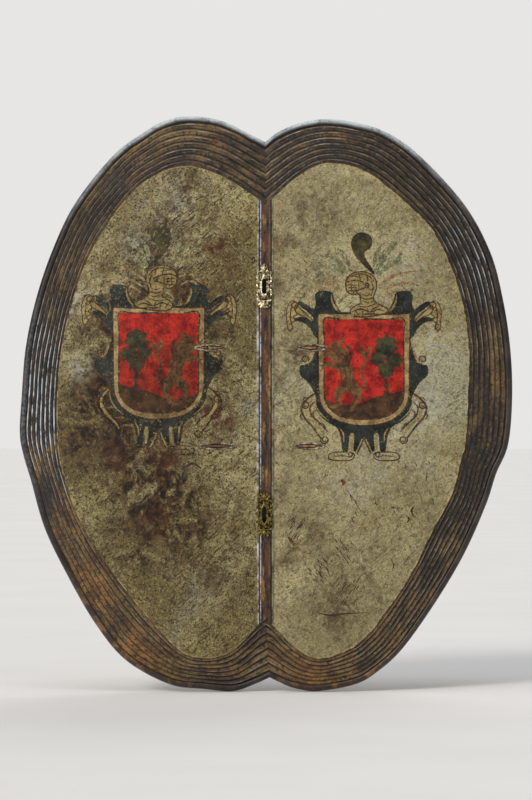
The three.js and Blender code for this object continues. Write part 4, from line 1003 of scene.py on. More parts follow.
# The lion's place and size on the field. Each brush stroke here is its points, then its widths along them.
lion_u, lion_v, lion_size = -18.0, 50.0, 1.22
lion_strokes = [
    ([(3, 14), (1, 4), (-4, -8)], (9, 10.5, 12.5)), ([(-3, -6), (-5, -12), (-6.6, -17.4)], (13, 14, 10)),
    ([(-5, -18), (-9, -19.4), (-13, -18.6)], (8.5, 7, 4.4)),
    ([(-8, -15.6), (-11, -15), (-13.2, -15.2)], (3.4, 2.4, 1.6)),
    ([(-4, -22), (-3.4, -24.6), (-2.4, -25.8)], (3.6, 2.4, 1)),
    ([(-5, -8), (-11, -10), (-15, -13.6), (-19, -16.6)], (6.4, 4.8, 3.8, 3.4)),
    ([(-18, -16), (-20.6, -18.6), (-21.6, -20.6)], (2, 1.4, .6)),
    ([(-18.6, -15.6), (-21.6, -15.4), (-23.4, -16)], (2, 1.4, .6)),
    ([(-4, -3), (-10, -2.6), (-14.6, -4.4), (-18.4, -2)], (6.2, 4.6, 3.6, 3)),
    ([(-18, -2.4), (-20.6, -3.2), (-22, -2.6)], (1.8, 1.2, .6)),
    ([(-18, -1.6), (-19.6, .2), (-20.8, 1.8)], (1.8, 1.2, .6)),
    ([(2, 12), (-3, 16), (-7.4, 20), (-5.6, 26), (-7.6, 30)], (10, 8, 5, 4, 3)),
    ([(-7, 29.4), (-10.6, 30.4), (-13.4, 30.2)], (3.4, 2.6, 1)),
    ([(4, 13), (8, 18), (9.6, 23), (6.4, 28), (5.6, 32.6)], (10.6, 8.6, 5.4, 4, 3)),
    ([(6, 32), (2.6, 33.4), (-.6, 33.4)], (3.4, 2.6, 1)),
    ([(5, 15), (11, 17), (15.6, 13), (13.6, 6), (12.6, 0), (16.6, -7), (14.6, -13)],
     (3, 2.4, 2, 1.8, 1.8, 2.2, 3.4)),
    ([(14.6, -11), (18.6, -15), (19.6, -19.4)], (3.6, 3, .6)),
    ([(14.4, -11), (12.4, -16), (13.4, -20.4)], (3.6, 3, .6))]
lion_marks = [
    ([(-8, -12), (-6, -9), (-7, -6)], (.4, .9, .4)), ([(-3, -18), (0, -14), (1, -10)], (.4, 1, .4)),
    ([(-1, -20.6), (3, -18), (5.4, -13)], (.4, 1, .4)), ([(2, -3), (4, 2), (3, 7)], (.4, 1, .4)),
    ([(-5, 1), (-3.4, 5), (-4, 9)], (.4, .9, .4)), ([(-15, -13), (-11, -11.4), (-8, -10.4)], (.3, .8, .3)),
    ([(-14, -3.6), (-10, -2), (-6, -2.4)], (.3, .8, .3)), ([(7.6, 19), (8.4, 22), (7, 26)], (.3, .8, .3)),
    ([(-4.6, 17), (-6.6, 20), (-6, 24)], (.3, .8, .3)), ([(14, 9), (13, 3), (14.4, -3)], (.3, .7, .3)),
    ([(-12, -19.6), (-10.6, -18.6)], (.4, .8)), ([(-20, -17), (-18, -16)], (.3, .7)),
    ([(-2, -22), (2, -17), (4, -10), (2, -3)], (.6, 1.4, 1.4, .6)),
    ([(-5, -13), (-1, -11), (1, -7)], (.5, 1.1, .5)),
    ([(-7, -20.6), (-8.6, -21), (-9.8, -20.4)], (.6, 1.1, .6)), ([(-3, -4), (0, 3), (0, 10)], (.5, 1.1, .5)),
    ([(5, 13), (3.6, 17), (5, 21)], (.5, 1.1, .5)),
    ([(-13.4, -17), (-10.6, -17), (-8.6, -16.6)], (.4, .9, .4))]


def on_lion(strokes):
    """The lion's strokes at its place and size on the field."""
    return [([(lion_u + lion_size * x, lion_v + lion_size * y) for x, y in line],
             [lion_size * w for w in widths]) for line, widths in strokes]


def ring_line(outline, width, parts=2):
    """A brush line round a closed outline."""
    around = smooth(outline, parts)
    return np.concatenate([around, around[:2]]), (width, width * .6, width, width * .7, width)


def curl(u, v, radius, start=0.0, turns=1.3):
    """A brush stroke that winds in towards its middle, as the end of a scroll does."""
    angle = start + np.linspace(0, 2 * np.pi * turns, 12)
    reach = radius * np.linspace(1, .35, 12)
    return np.stack([u + reach * np.cos(angle), v + reach * np.sin(angle)], -1), (1.3, 1.3, .7)


def mirrored(strokes):
    """The strokes and the same again on the other side of the middle line."""
    return strokes + [([(-u, v) for u, v in line], widths) for line, widths in strokes]


helm_lines = [
    ([(-15, -41.4), (-9, -42.6), (-2, -41)], (.5, 1, .5)),
    ([(-6, -46.4), (-4, -41), (-3.6, -37)], (.5, 1.1, .5)),
    ([(1, -46), (3.4, -41), (3.6, -37.4)], (.5, 1, .5)),
    ([(-13, -36), (-12.4, -31), (-13, -28.4)], (.5, 1, .5)),
    ([(-9.4, -36.4), (-8.8, -31), (-9.2, -28.4)], (.5, 1, .5)),
    ([(-5.6, -36.4), (-5, -32), (-5.4, -28.6)], (.5, 1, .5)),
    ([(-1.6, -24.6), (3, -23), (8, -25)], (.5, 1, .5)), ([(5, -30), (8, -28.6), (10.6, -30)], (.5, 1, .5)),
    ([(-10, -10), (-6, -4.6)], (.5, 1)), ([(-2, -9.6), (-1, -3)], (.5, 1)), ([(9, -8), (11, -3.6)], (.5, 1)),
    ([(14.4, -12.6), (10, -10.6), (6.6, -7.4)], (.5, 1.1, .5)),
    ([(-1.4, -18), (4, -16), (9.4, -17.6)], (.5, 1, .5)),
    ring_line(helm, 1.5), ([(-17.6, -36.6), (-9, -38.4), (2, -36)], (1, 1.5, 1)),
    ([(-16, -28), (-8, -28), (1.6, -31.4)], (1, 1.4, 1)),
    ([(-16.6, -33.6), (-12, -34), (-7, -33.6)], (.8, 1.3, .8)),
    ([(-16, -31), (-12, -31.2), (-7, -31)], (.8, 1.1, .8)),
    ([(-13, -43), (-4, -44.8), (5, -42.6), (10, -37)], (.7, 1.1, 1.1, .7)),
    ([(-11, -27.4), (-10.4, -26.4), (-10.6, -25.4)], (.6, 1, .6)),
    ([(-8, -28), (-7.2, -26.6), (-7.4, -25.4)], (.6, 1, .6)),
    ([(7, -38), (9, -32), (7.6, -25)], (.7, 1.2, .7)), ([(-4, -22), (2, -19.6), (9.6, -21.4)], (.8, 1.3, .8)),
    ([(-12, -7), (-3, -10), (6, -7), (14, -9.6), (20, -8)], (.8, 1.3, 1, 1.3, .8)),
    ([(-7, -13), (2, -12), (11, -15)], (.6, 1.1, .6)), ([(3, -11), (4, -8), (3.6, -4)], (.6, 1, .6)),
    curl(3.4, -33.6, 2.6, 1)]
frame_lines = [(both_sides(half), (width, width * .5, width, width * .4, width, width * .6, width))
               for half, width in ((frame_half, 1.5), (field_half, 1.9))]
scroll_lines = mirrored([
    ([(31.4, -25), (30, -18), (26, -10), (23, -6.4)], (1.2, 1.6, 1.6, 1)), ring_line(leaf, 1.3),
    ring_line(band, 1.2), ([(72, -12), (73, -4), (72.6, 4)], (.8, 1.3, .8)), curl(69, -13.4, 4, 2.2),
    ([(70.4, -8), (73.6, -9.4)], (.6, 1)), ([(70, -1), (74, -2)], (.6, 1)), curl(58.4, 40, 4, 2.6),
    ([(47.4, 28), (49, 36), (53, 43.4), (58, 45)], (.8, 1.5, 1.5, .8)),
    ([(48, 73), (56, 79), (62, 87), (59.6, 97), (51, 107), (43, 118)], (1.2, 1.9, 2.1, 1.9, 1.8, 1.2)),
    ([(49, 82), (53.6, 88), (51.6, 96), (43, 104), (36, 112)], (.8, 1.5, 1.6, 1.5, .8)),
    ([(47, 90), (50.6, 93), (49, 98)], (.6, 1.2, .5)), ([(55, 79), (58.4, 78), (61, 81)], (.5, 1.2, .5)),
    ([(60, 92), (63, 96), (60.6, 100)], (.5, 1.2, .5)), ([(45, 104), (41, 104), (38, 108)], (.5, 1.2, .5)),
    ([(67.4, -15), (69, -11), (67.6, -7)], (.5, 1.2, .5)), ([(74, -8), (76.6, -5)], (.5, 1)),
    ([(74, 1), (76, 3)], (.5, 1)),
    ([(71.4, 4), (74.4, 6)], (.5, 1)), ([(55, -4.4), (60, -8), (64, -10.4)], (.5, 1.1, .5)),
    ([(14, 136.4), (22, 135.6), (31, 136.6)], (.5, 1, .5)), ([(44.8, 21), (47, 17), (50, 15)], (.6, 1.4, .6)),
    curl(58, 85, 4, .4), curl(39, 119.6, 4.4, -.6, 1.5), ring_line(shoe, 1.4), curl(14, 134, 3, 1, 1.1),
    ([(26, 107), (22.6, 116), (21.4, 128)], (.8, 1.6, .8)), ([(0, 118), (3.4, 126), (7, 134)], (1, 1.6, 1)),
    ([(46, 21), (46.6, 30), (48.6, 37)], (.8, 1.6, .8)), ([(53, 63), (49, 70), (47, 78)], (.8, 1.6, .8))])
cream_lines = mirrored([
    ([(31.6, -25), (31.4, -19), (28.4, -11.6), (24.6, -7.6)], (1, 3, 3, 1)),
    ([(50, 76), (56, 83), (57, 91), (51, 101), (43, 109), (39.4, 115)], (1, 2.4, 3, 2.6, 2, 1)),
    ([(49, 31), (53, 40), (58.4, 43)], (1, 3, 4)),
    ([(49, 78), (47.6, 86), (43, 94), (35, 101)], (.5, 1.3, 1.3, .5)),
    ([(12, 113), (12.2, 122), (13, 130)], (2.8, 2.8, 1.8)), ([(2, 119), (5, 127), (8.4, 133)], (.8, 2, 1)),
    ([(24, 108), (20.6, 114), (20, 122)], (.6, 1.6, .6))])
mantling = [
    ([(-16, -46), (-24, -55), (-33, -63), (-42, -62)], (3, 6, 6, 2)),
    ([(-20, -46), (-30, -52), (-41, -52), (-46, -58)], (3, 5, 4, 1.6)),
    ([(-14, -52), (-19, -62), (-26, -70)], (2.4, 5, 2)),
    ([(12, -45), (17, -57), (24, -68), (33, -76)], (3, 7, 7, 2)),
    ([(14, -44), (24, -53), (33, -58), (37, -66)], (3, 6, 6, 2)),
    ([(10, -52), (12, -64), (18, -74)], (2.4, 4.6, 2))]
ribbons = [
    ([(-20, -36), (-31, -38), (-42, -31), (-52, -30)], (1.6, 3, 3, 1)),
    ([(-22, -28), (-32, -32), (-40, -26)], (1, 2.6, 1)),
    ([(14, -32), (24, -40), (36, -45), (52, -48)], (1.6, 3.4, 3, 1)),
    ([(16, -26), (28, -33), (42, -36), (56, -33)], (1.4, 3, 2.6, 1)),
    ([(18, -20), (26, -26), (38, -29)], (1, 2.4, 1))]
plume_marks = [([(9, -46), (2, -54), (-5, -64), (-7, -74), (-3, -80)], (.5, 1.2, 1.4, 1.2, .5)),
               ([(-10, -70), (-6, -70)], (.5, 1)), ([(-11, -78), (-6, -76)], (.5, 1)),
               ([(2, -83), (0, -78)], (.5, 1))]
leaf_marks = [([(u, v), (u + 2.4, v - 2), (u + 5, v - .6)], (.5, 1.5, .5)) for u, v in (
    (13, 22), (20, 19), (26, 25), (17, 29), (24, 31), (9, 38), (14, 43), (27, 38), (31, 45), (18, 50),
    (24, 47), (21, 56))]
trunk = [([(21, 84), (22.6, 70), (21.6, 56), (22, 44)], (7, 4.4, 3.6, 2.4)),
         ([(22, 62), (17, 52), (14, 44)], (2.6, 2, 1.2)),
         ([(22, 60), (27, 52), (30, 46)], (2.6, 2, 1.2)), ([(21, 83), (15, 86), (11, 88)], (3.4, 2.2, .8)),
         ([(22, 83), (28, 84), (32, 86)], (3.4, 2.2, .8))]

for side, wear, soiled in (("left", .16, ((-150, 20, 90, .5), (-95, 40, 60, .4))), ("right", 0, ())):
    blue_black = aged_paint(f"{side}_blue_black_paint", "#0b0d0b", "#2a312d", .34 + wear, .7, soiled)
    cream = aged_paint(f"{side}_cream_paint", "#6b5532", "#a89163", .2 + wear, .8, soiled)
    scroll_buff = aged_paint(f"{side}_scroll_buff_paint", "#7c6739", "#a1905f", .5 + wear / 2, .8, soiled)
    plume_olive = aged_paint(f"{side}_plume_olive_paint", "#231f12", "#4b4528", .3 + wear, .8, soiled)
    red = aged_paint(f"{side}_red_paint", "#74110c", "#bd2a1d", .14 + wear / 2, .9, soiled)
    lion_brown = aged_paint(f"{side}_lion_brown_paint", "#422b15", "#785530", .35 + wear, .9, soiled)
    leaf_green = aged_paint(f"{side}_dark_green_paint", "#191a11", "#444429", .25 + wear, .6, soiled)
    bark_brown = aged_paint(f"{side}_bark_brown_paint", "#281910", "#563a22", .2 + wear, .7, soiled)
    line_brown = aged_paint(f"{side}_line_brown_paint", "#22140a", "#4c301b", .5 + wear / 4, .4, soiled)
    faint_green = aged_paint(f"{side}_faint_green_paint", "#465441", "#68755a", .8 + wear, .5, soiled)
    faint_pink = aged_paint(f"{side}_faint_pink_paint", "#86513a", "#a87e58", .86 + wear, .5, soiled)
    brushed("mantling", mantling, side, .05, faint_green)
    brushed("ribbons", ribbons, side, .05, faint_pink)
    painted("cartouche", [smooth(both_sides(cartouche_half), 3)], side, .12, blue_black)
    scroll_ends = [smooth(np.array(o) * (flip, 1), 3) for o in (leaf, band) for flip in (1, -1)]
    painted("scroll_fill", scroll_ends, side, .16, scroll_buff, spacing=1.6)
    painted("frame", [both_sides(frame_half)], side, .2, cream, [both_sides(field_half)])
    painted("field", [both_sides(field_half)], side, .17, red)
    painted("mount", [mount], side, .24, bark_brown)
    brushed("trunk", trunk, side, .28, bark_brown)
    painted("leaves", tree_masses, side, .33, leaf_green)
    brushed("leaf_marks", leaf_marks, side, .4, bark_brown)
    brushed("lion", on_lion(lion_strokes), side, .3, lion_brown)
    brushed("lion_marks", on_lion(lion_marks), side, .42, bark_brown)
    painted("helm", [smooth(helm, 3)], side, .14, scroll_buff)
    painted("plume", [smooth(plume, 3)], side, .22, plume_olive)
    brushed("plume_marks", plume_marks, side, .26, bark_brown)
    brushed("cream_lines", cream_lines, side, .24, scroll_buff)
    brushed("frame_lines", frame_lines, side, .3, line_brown)
    brushed("brown_lines", scroll_lines + helm_lines, side, .26, line_brown)

# Scratches, cuts and small tears of the face: dark strokes laid on the paint and leather, partly dirt and
# partly painted shade in the cuts. Their places and widths are in photo pixels. The hatched ones are made in
# groups of short parallel strokes.
def hatched(across, down, width, height, lean, count, seed):
    """Short leaning scratches scattered over a patch."""
    rng = np.random.default_rng(seed)
    made = []
    for u, v in zip(across + width * rng.random(count), down + height * rng.random(count)):
        reach = 3 + 6 * rng.random()
        bend = .6 * rng.standard_normal()
        step_u, step_v = reach * math.cos(lean), reach * math.sin(lean)
        line = [(u - step_u / 2, v - step_v / 2), (u + bend, v), (u + step_u / 2, v + step_v / 2)]
        made.append((line, (.3, .7 + .5 * rng.random(), .3)))
    return made


hatched_places = [  # across, down, width, height, lean, number of scratches and seed
    (286, 516, 16, 20, 2.2, 16, 1), (314, 552, 18, 22, .95, 14, 2), (334, 540, 18, 24, 1.0, 16, 3),
    (308, 562, 14, 18, .95, 12, 4), (336, 578, 22, 26, 2.2, 22, 5), (96, 440, 60, 70, 2.3, 34, 6),
    (128, 490, 36, 40, 2.0, 14, 7), (180, 430, 40, 60, .6, 10, 8), (350, 440, 90, 80, 1.2, 14, 9),
    (96, 300, 30, 120, 1.9, 12, 10), (290, 240, 120, 60, .8, 10, 11)]
scratches = (
    [stroke for place in hatched_places for stroke in hatched(*place)]
    + [([(318, 611.6), (330, 614), (345, 612.4), (368, 611.4)], (.6, 2, 1.2, .5)),
       ([(413.4, 505), (410.6, 510), (412.6, 516)], (.6, 2.4, .6)),
       ([(404, 514), (408, 518), (406, 522)], (.4, 1.6, .5)),
       ([(390, 506), (393, 507.4)], (1, 1.6)), ([(426, 472), (425, 480)], (.6, 1.2)),
       ([(391, 560), (393, 564), (391.6, 569)], (.5, 1.4, .5)),
       ([(345, 488), (352, 497), (361, 512)], (.4, .9, .4)),
       ([(118, 486), (112, 494), (105, 502)], (.5, 1.2, .5)),
       ([(141, 522), (147, 508), (150, 494)], (.6, 1.4, .6)),
       ([(172, 474), (164, 488), (150, 500)], (.4, 1, .4)),
       ([(186, 466), (194, 463), (202, 468)], (.8, 2.6, 1))])
rusty_marks = [([(340.6, 479), (343, 482), (342, 485)], (2, 3.6, 1.4)),
               ([(288, 536), (292, 541), (295, 545)], (2, 4, 2)),
               ([(206, 246), (211, 250), (214, 256)], (1.4, 3, 1.2)), ([(152, 250), (156, 254)], (1, 2.4)),
               ([(332.6, 127), (331.4, 132), (330.6, 136)], (1, 2.2, 1)),
               ([(411, 203), (413, 207)], (1, 2.4))]
tears = [([(334, 124), (332, 131), (330, 138)], (.5, 1.3, .5)),
         ([(219.6, 668), (217.6, 674), (219, 679)], (.8, 2.4, .6)),
         ([(212, 671), (218, 674), (223, 676)], (.4, 1.6, .6)),
         ([(262, 206), (265, 204), (269, 205)], (.4, 1, .4))]
scratch_dirt_and_shade = aged_paint("dirt_and_shade_in_scratches", "#1f150c", "#43311b", .3, .5)
rust_brown = aged_paint("rust_brown_stain", "#4a2412", "#7a3d1d", .5, .7)
brushed("scratches", scratches, "face", .05, scratch_dirt_and_shade, 0)
brushed("rusty_marks", rusty_marks, "face", .06, rust_brown, 0)
brushed("tears", tears, "face", .08, scratch_dirt_and_shade, 0)

# The slots: two openings cut through both hides and the spine strip, each closed at the back by a backing
# plate. They are cut here, once the spine is on, with a knife through all the layers.
def group(origin, x_axis=(1, 0, 0), z_axis=(0, 0, 1)):
    """A fitting's own axes, as a function that turns its millimetres to metres in the row frame."""
    axes = np.stack([x_axis, np.cross(z_axis, x_axis), z_axis])
    return lambda points: (np.array(origin) + np.asarray(points, float) @ axes) * mm


def round_slot(middle_z, half_width, half_height):
    """The outline of a slot with round ends."""
    turn = np.linspace(0, 2 * np.pi, 32, endpoint=False)
    rise = (half_height - half_width) * np.sign(np.sin(turn))
    return np.stack([half_width * np.cos(turn), middle_z + half_width * np.sin(turn) + rise], -1)


plate_places = {"upper": group((-1.5, -27.507, 148.2), z_axis=(0, .05331, .99858)),
                "lower": group((-1.5, -28.986, -157.8), z_axis=(0, -.04361, .99905))}
slot_half_width, slot_half_height, slot_knife_y = 3.2, 10.0, (-20, .15)
for leather in (back_hide, front_hide, spine):
    cut(leather, [prism(round_slot(0, slot_half_width, slot_half_height), *slot_knife_y, to_world)
                  for to_world in plate_places.values()])


# The backing plates: rectangles of sheet iron over which the plate rivets are clenched. The CAD nodes have
# the right shape and stay. The iron is forge-browned, so it looks dark and dull, freckled with rust.
def iron_colour(tree):
    return coats(
        tree, "#3b3733",
        ("#5f5b57", patches(tree, 90, .35, .65, 6, .6)),
        ("#6a3d22", patches(tree, 140, .54, .66, 8, .7)))


sheet_iron = material("browned_sheet_iron", iron_colour, between(.4, .66, 90), grain(160, 6, .6), .25,
                      metallic=1.0)
for place in plate_places:
    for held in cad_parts[f"{place}_backing_plate"].material_slots:
        held.material = sheet_iron


# The slot plates: cast brass, filed into small scrolls down each side, pierced between them, with a knob or
# a fan at each end and a raised lip round the slot. The upper one is polished by wear and the lower is dull.
side_scrolls = [(6, 20.3), (8.6, 20.1), (10, 18.2), (9.7, 15.8), (8.6, 14.2), (10.4, 12), (10.9, 9.6),
                (10, 7.2), (8.9, 5.6), (10.4, 3.4), (10.9, 0)]
plate_side = side_scrolls + [(x, -z) for x, z in side_scrolls[-2::-1]]
knob = [(0, 30), (2.2, 29.3), (3.7, 27.4), (4.5, 24.6), (4.2, 22)]
fan = [(4.6, 21.6), (7.2, 23.2), (8.3, 25.2), (7.2, 26.8), (6.6, 27.3), (5.2, 28.8), (4, 28.8), (2.4, 30),
       (0, 29.5)]
plate_outlines = {
    "upper": both_sides(knob + plate_side + [(x, -z) for x, z in fan]),
    "lower": both_sides(fan[::-1] + plate_side + [(x, -z) for x, z in fan])}
slot_outline = both_sides([(0, 10), (1.9, 9.5), (3.1, 7.6), (3.2, 5), (2.8, 2.2), (2.6, 0), (2.8, -2.2),
                           (3.2, -5), (3.1, -7.6), (1.9, -9.5), (0, -10)])
piercing = np.array([(0, 3.4), (.8, 1.6), (.9, 0), (.8, -1.6), (0, -3.4), (-.7, -1.6), (-.5, 0), (-.7, 1.6)])
plate_thickness, relief_height = 1.0, .8


def plate_relief(x, z):
    """Thickness of the plate: lip, bars, side scrolls and the ribs of the fans."""
    lip = np.exp(-((np.hypot(x / 3.2, z / 10) - 1.32) / .17) ** 2)
    scroll = (np.exp(-((np.abs(x) - 9.4) / .9) ** 2) * (.62 + .38 * np.cos(z * 2 * np.pi / 6.2))
              * (np.abs(z) < 20))
    bar = np.exp(-((np.abs(z) - 5.6) / .9) ** 2) * (np.abs(x) > 4)
    ribs = (.5 + .5 * np.cos(np.arctan2(x, np.abs(z) - 17) * 17)) * (np.abs(z) > 21)
    waist = np.exp(-((np.abs(z) - 20.3) / .7) ** 2)
    highest = np.maximum.reduce([lip, .9 * scroll, .7 * bar, .75 * ribs, .9 * waist])
    return plate_thickness + relief_height * np.clip(highest, 0, 1)


# Cast brass. Worn clean it is a warm pale gold with sharp highlights. Grime keeps its hollows brown and dull,
# and painted shade darkens its right side.
def brass_colour(low, ground, high, shaded=0.0):
    """Brass that is clean where it stands proud, with grime in its hollows and painted shade on its right
    side.
    """
    def colour(tree):
        seen = add(tree, "ShaderNodeTexCoord").outputs["Object"]
        to_right = add(tree, "ShaderNodeSeparateXYZ", None, {0: seen}).outputs[0]
        right_side = add(tree, "ShaderNodeMapRange", {"interpolation_type": "SMOOTHSTEP"}, {
            "Value": to_right, "From Min": -5 * mm, "From Max": 1 * mm}).outputs["Result"]
        # Painted shade: the brass darkens towards its right side, more so the larger the shaded share
        painted_shade_right = add(tree, "ShaderNodeMath", {"operation": "MULTIPLY"}, {
            0: right_side, 1: shaded}).outputs[0]
        # The dark coat takes the grime in the hollows together with the painted shade on the right
        dirty = add(tree, "ShaderNodeMath", {"operation": "ADD", "use_clamp": True}, {
            0: painted_shade_right, 1: where(tree, "relief", .62, .12)}).outputs[0]
        return coats(
            tree, ground,
            (high, patches(tree, 320, .36, .6, 8, .75)),
            (low, dirty, patches(tree, 320, .68, .4, 8, .75)))
    return colour


polished_brass = material("polished_cast_brass", brass_colour("#241b0f", "#b0975a", "#fff3c9", 1.0),
                          between(.24, .42, 200), grain(420, 6, .6), .25, metallic=1.0)
dull_brass = material("dull_cast_brass", brass_colour("#17130b", "#5a4c28", "#8f8049", .3),
                      between(.38, .6, 200), grain(420, 6, .6), .3, metallic=1.0)
plate_back_y, plate_cast_spacing = -12.7, .55
plate_brass = {"upper": polished_brass, "lower": dull_brass}
for place, outline in plate_outlines.items():
    to_world = plate_places[place]
    holes = [smooth(slot_outline, 3)] + [
        smooth(piercing * (side, 1) + (side * 7.1, z), 2) for side in (-1, 1) for z in (-11.4, 0, 11.4)]
    flat, faces = filled([smooth(outline, 4)], plate_cast_spacing, holes)
    thickness = plate_relief(flat[:, 0], flat[:, 1])
    front = to_world(np.stack([flat[:, 0], plate_back_y - thickness, flat[:, 1]], -1))
    back = to_world(np.stack([flat[:, 0], np.full(len(flat), plate_back_y), flat[:, 1]], -1))
    mesh, kept = relief(front, back, faces)
    shares = np.concatenate([(thickness - plate_thickness) / relief_height, np.zeros(len(flat))])
    finished(mesh, f"{place}_cast_plate", "shield_body", plate_brass[place], [f"{place}_slot_plate"],
             {"relief": shares[kept]})

# The rivets: brass pins that hold each slot plate at its top and bottom. Their domed heads stand over the
# plates' ends, and their tails are hammered out into flat burrs on the backing plates.
rivet_profile = [(0, -16.4), (1.1, -16.35), (2.1, -16), (2.8, -15.4), (3.2, -14.6), (3.2, -14), (2.9, -13.6),
                 (1.5, -13.6), (1.5, 1.9), (2.9, 1.9), (3, 2.3), (2.7, 2.9), (1.8, 3.25), (0, 3.4)]


def turned(profile, to_world, middle_z, steps=28):
    """A piece turned about the y axis of its group, a little uneven as hammered metal is."""
    angle = np.linspace(0, 2 * np.pi, steps, endpoint=False)
    radius, y = np.array(profile).T
    uneven = 1 + .035 * np.sin(2 * angle + middle_z) + .02 * np.sin(5 * angle)
    rings = np.stack([radius[:, None] * np.cos(angle) * uneven, y[:, None] + 0 * angle,
                      middle_z + radius[:, None] * np.sin(angle) * uneven], -1)
    index = np.arange(len(profile) * steps).reshape(-1, steps)
    return closed_mesh(to_world(rings), quads(np.concatenate([index, index[:, :1]], axis=1)))


for place, to_world in plate_places.items():
    for end, z in (("top", 24), ("bottom", -24)):
        mesh, kept = turned(rivet_profile, to_world, z)
        finished(mesh, f"{place}_{end}_domed_rivet", "shield_body", plate_brass[place],
                 [f"{place}_plate_{end}_rivet"], {"relief": np.full(len(kept), .7)})


# The anchor patches: squares of thick harness leather that take the pull of the laces. The CAD nodes have
# the right shape and stay. Greased harness leather looks warm brown with dark greasy patches and dry flecks.
def harness_colour(tree):
    return coats(
        tree, "#5b3a20",
        ("#7e5631", patches(tree, 22, .36, .64, 6, .6)),
        ("#3c2716", patches(tree, 9, .5, .7, 5, .6, 1)),
        ("#9c7446", patches(tree, 160, .6, .74, 8, .7)))


harness_leather = material("harness_leather", harness_colour, between(.42, .66, 40), grain(460, 8, .7), .3)
for name in ("hand_upper_patch", "hand_lower_patch", "forearm_upper_patch", "forearm_lower_patch"):
    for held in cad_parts[name].material_slots:
        held.material = harness_leather


# The laces: one thong at each end of each arm strap. It is drawn through the hides and tied off over the
# strap's tab, so only a short lens-shaped stitch shows on the face, in a slit whose lips have risen.
def sweep(centres, section, across=None, up=None, closed=False):
    """A section of (across, up) millimetres carried along a line of centres given in metres."""
    along = np.roll(centres, -1, 0) - np.roll(centres, 1, 0) if closed else np.gradient(centres, axis=0)
    along /= np.linalg.norm(along, axis=1, keepdims=True)
    if across is None:
        across = np.cross(along, up)
        across /= np.linalg.norm(across, axis=1, keepdims=True)
    across = np.broadcast_to(across, along.shape)
    up = np.cross(across, along)
    up /= np.linalg.norm(up, axis=1, keepdims=True)
    section = np.broadcast_to(section, (len(centres), *np.shape(section)[-2:]))
    rings = centres[:, None] + (across[:, None] * section[..., :1] + up[:, None] * section[..., 1:]) * mm
    index = np.arange(rings[..., 0].size).reshape(rings.shape[:2])
    index = np.concatenate([index, index[:, :1]], axis=1)
    if closed:
        return closed_mesh(rings, quads(np.concatenate([index, index[:1]])))[0]
    return closed_mesh(rings, quads(index) + [index[0, :-1].tolist(), index[-1, -2::-1].tolist()])[0]


def rounded_section(half_across, half_up, squareness=.6, points=20):
    turn = np.linspace(0, 2 * np.pi, points, endpoint=False)
    c, s = np.cos(turn), np.sin(turn)
    shape = np.stack([np.sign(c) * np.abs(c) ** squareness, np.sign(s) * np.abs(s) ** squareness], -1)
    halves = np.stack(np.broadcast_arrays(half_across, half_up), -1)
    return shape * halves[..., None, :]


# A thong cut from tanned hide, pulled smooth as it was drawn through: tan with dark flecks. The lower hand
# lace is the same thong darkened by sweat.
def lace_colour(tree):
    return coats(
        tree, "#5b3a1e",
        ("#966c3e", patches(tree, 180, .36, .64, 6, .6)),
        ("#2c1a0e", patches(tree, 300, .52, .66, 8, .7)))


def dark_lace_colour(tree):
    return coats(tree, "#3a2412", ("#6b4524", patches(tree, 180, .36, .64, 6, .6)))


thong_leather = material("tanned_thong", lace_colour, between(.36, .55, 120), grain(620, 8, .7), .25)
dark_thong = material("sweat_darkened_thong", dark_lace_colour, between(.36, .55, 120), grain(620, 8, .7),
                      .25)


# The painted skin where it has risen round a slit: chalk shows pale on its rubbed lip, between dark specks
def lip_colour(tree):
    return coats(
        tree, "#a9a186",
        ("#5f5233", patches(tree, 90, .44, .56, 8, .75)),
        ("#dedccb", patches(tree, 60, .56, .62, 8, .75)),
        ("#231a10", speckle(tree, 240, .48, .56)))


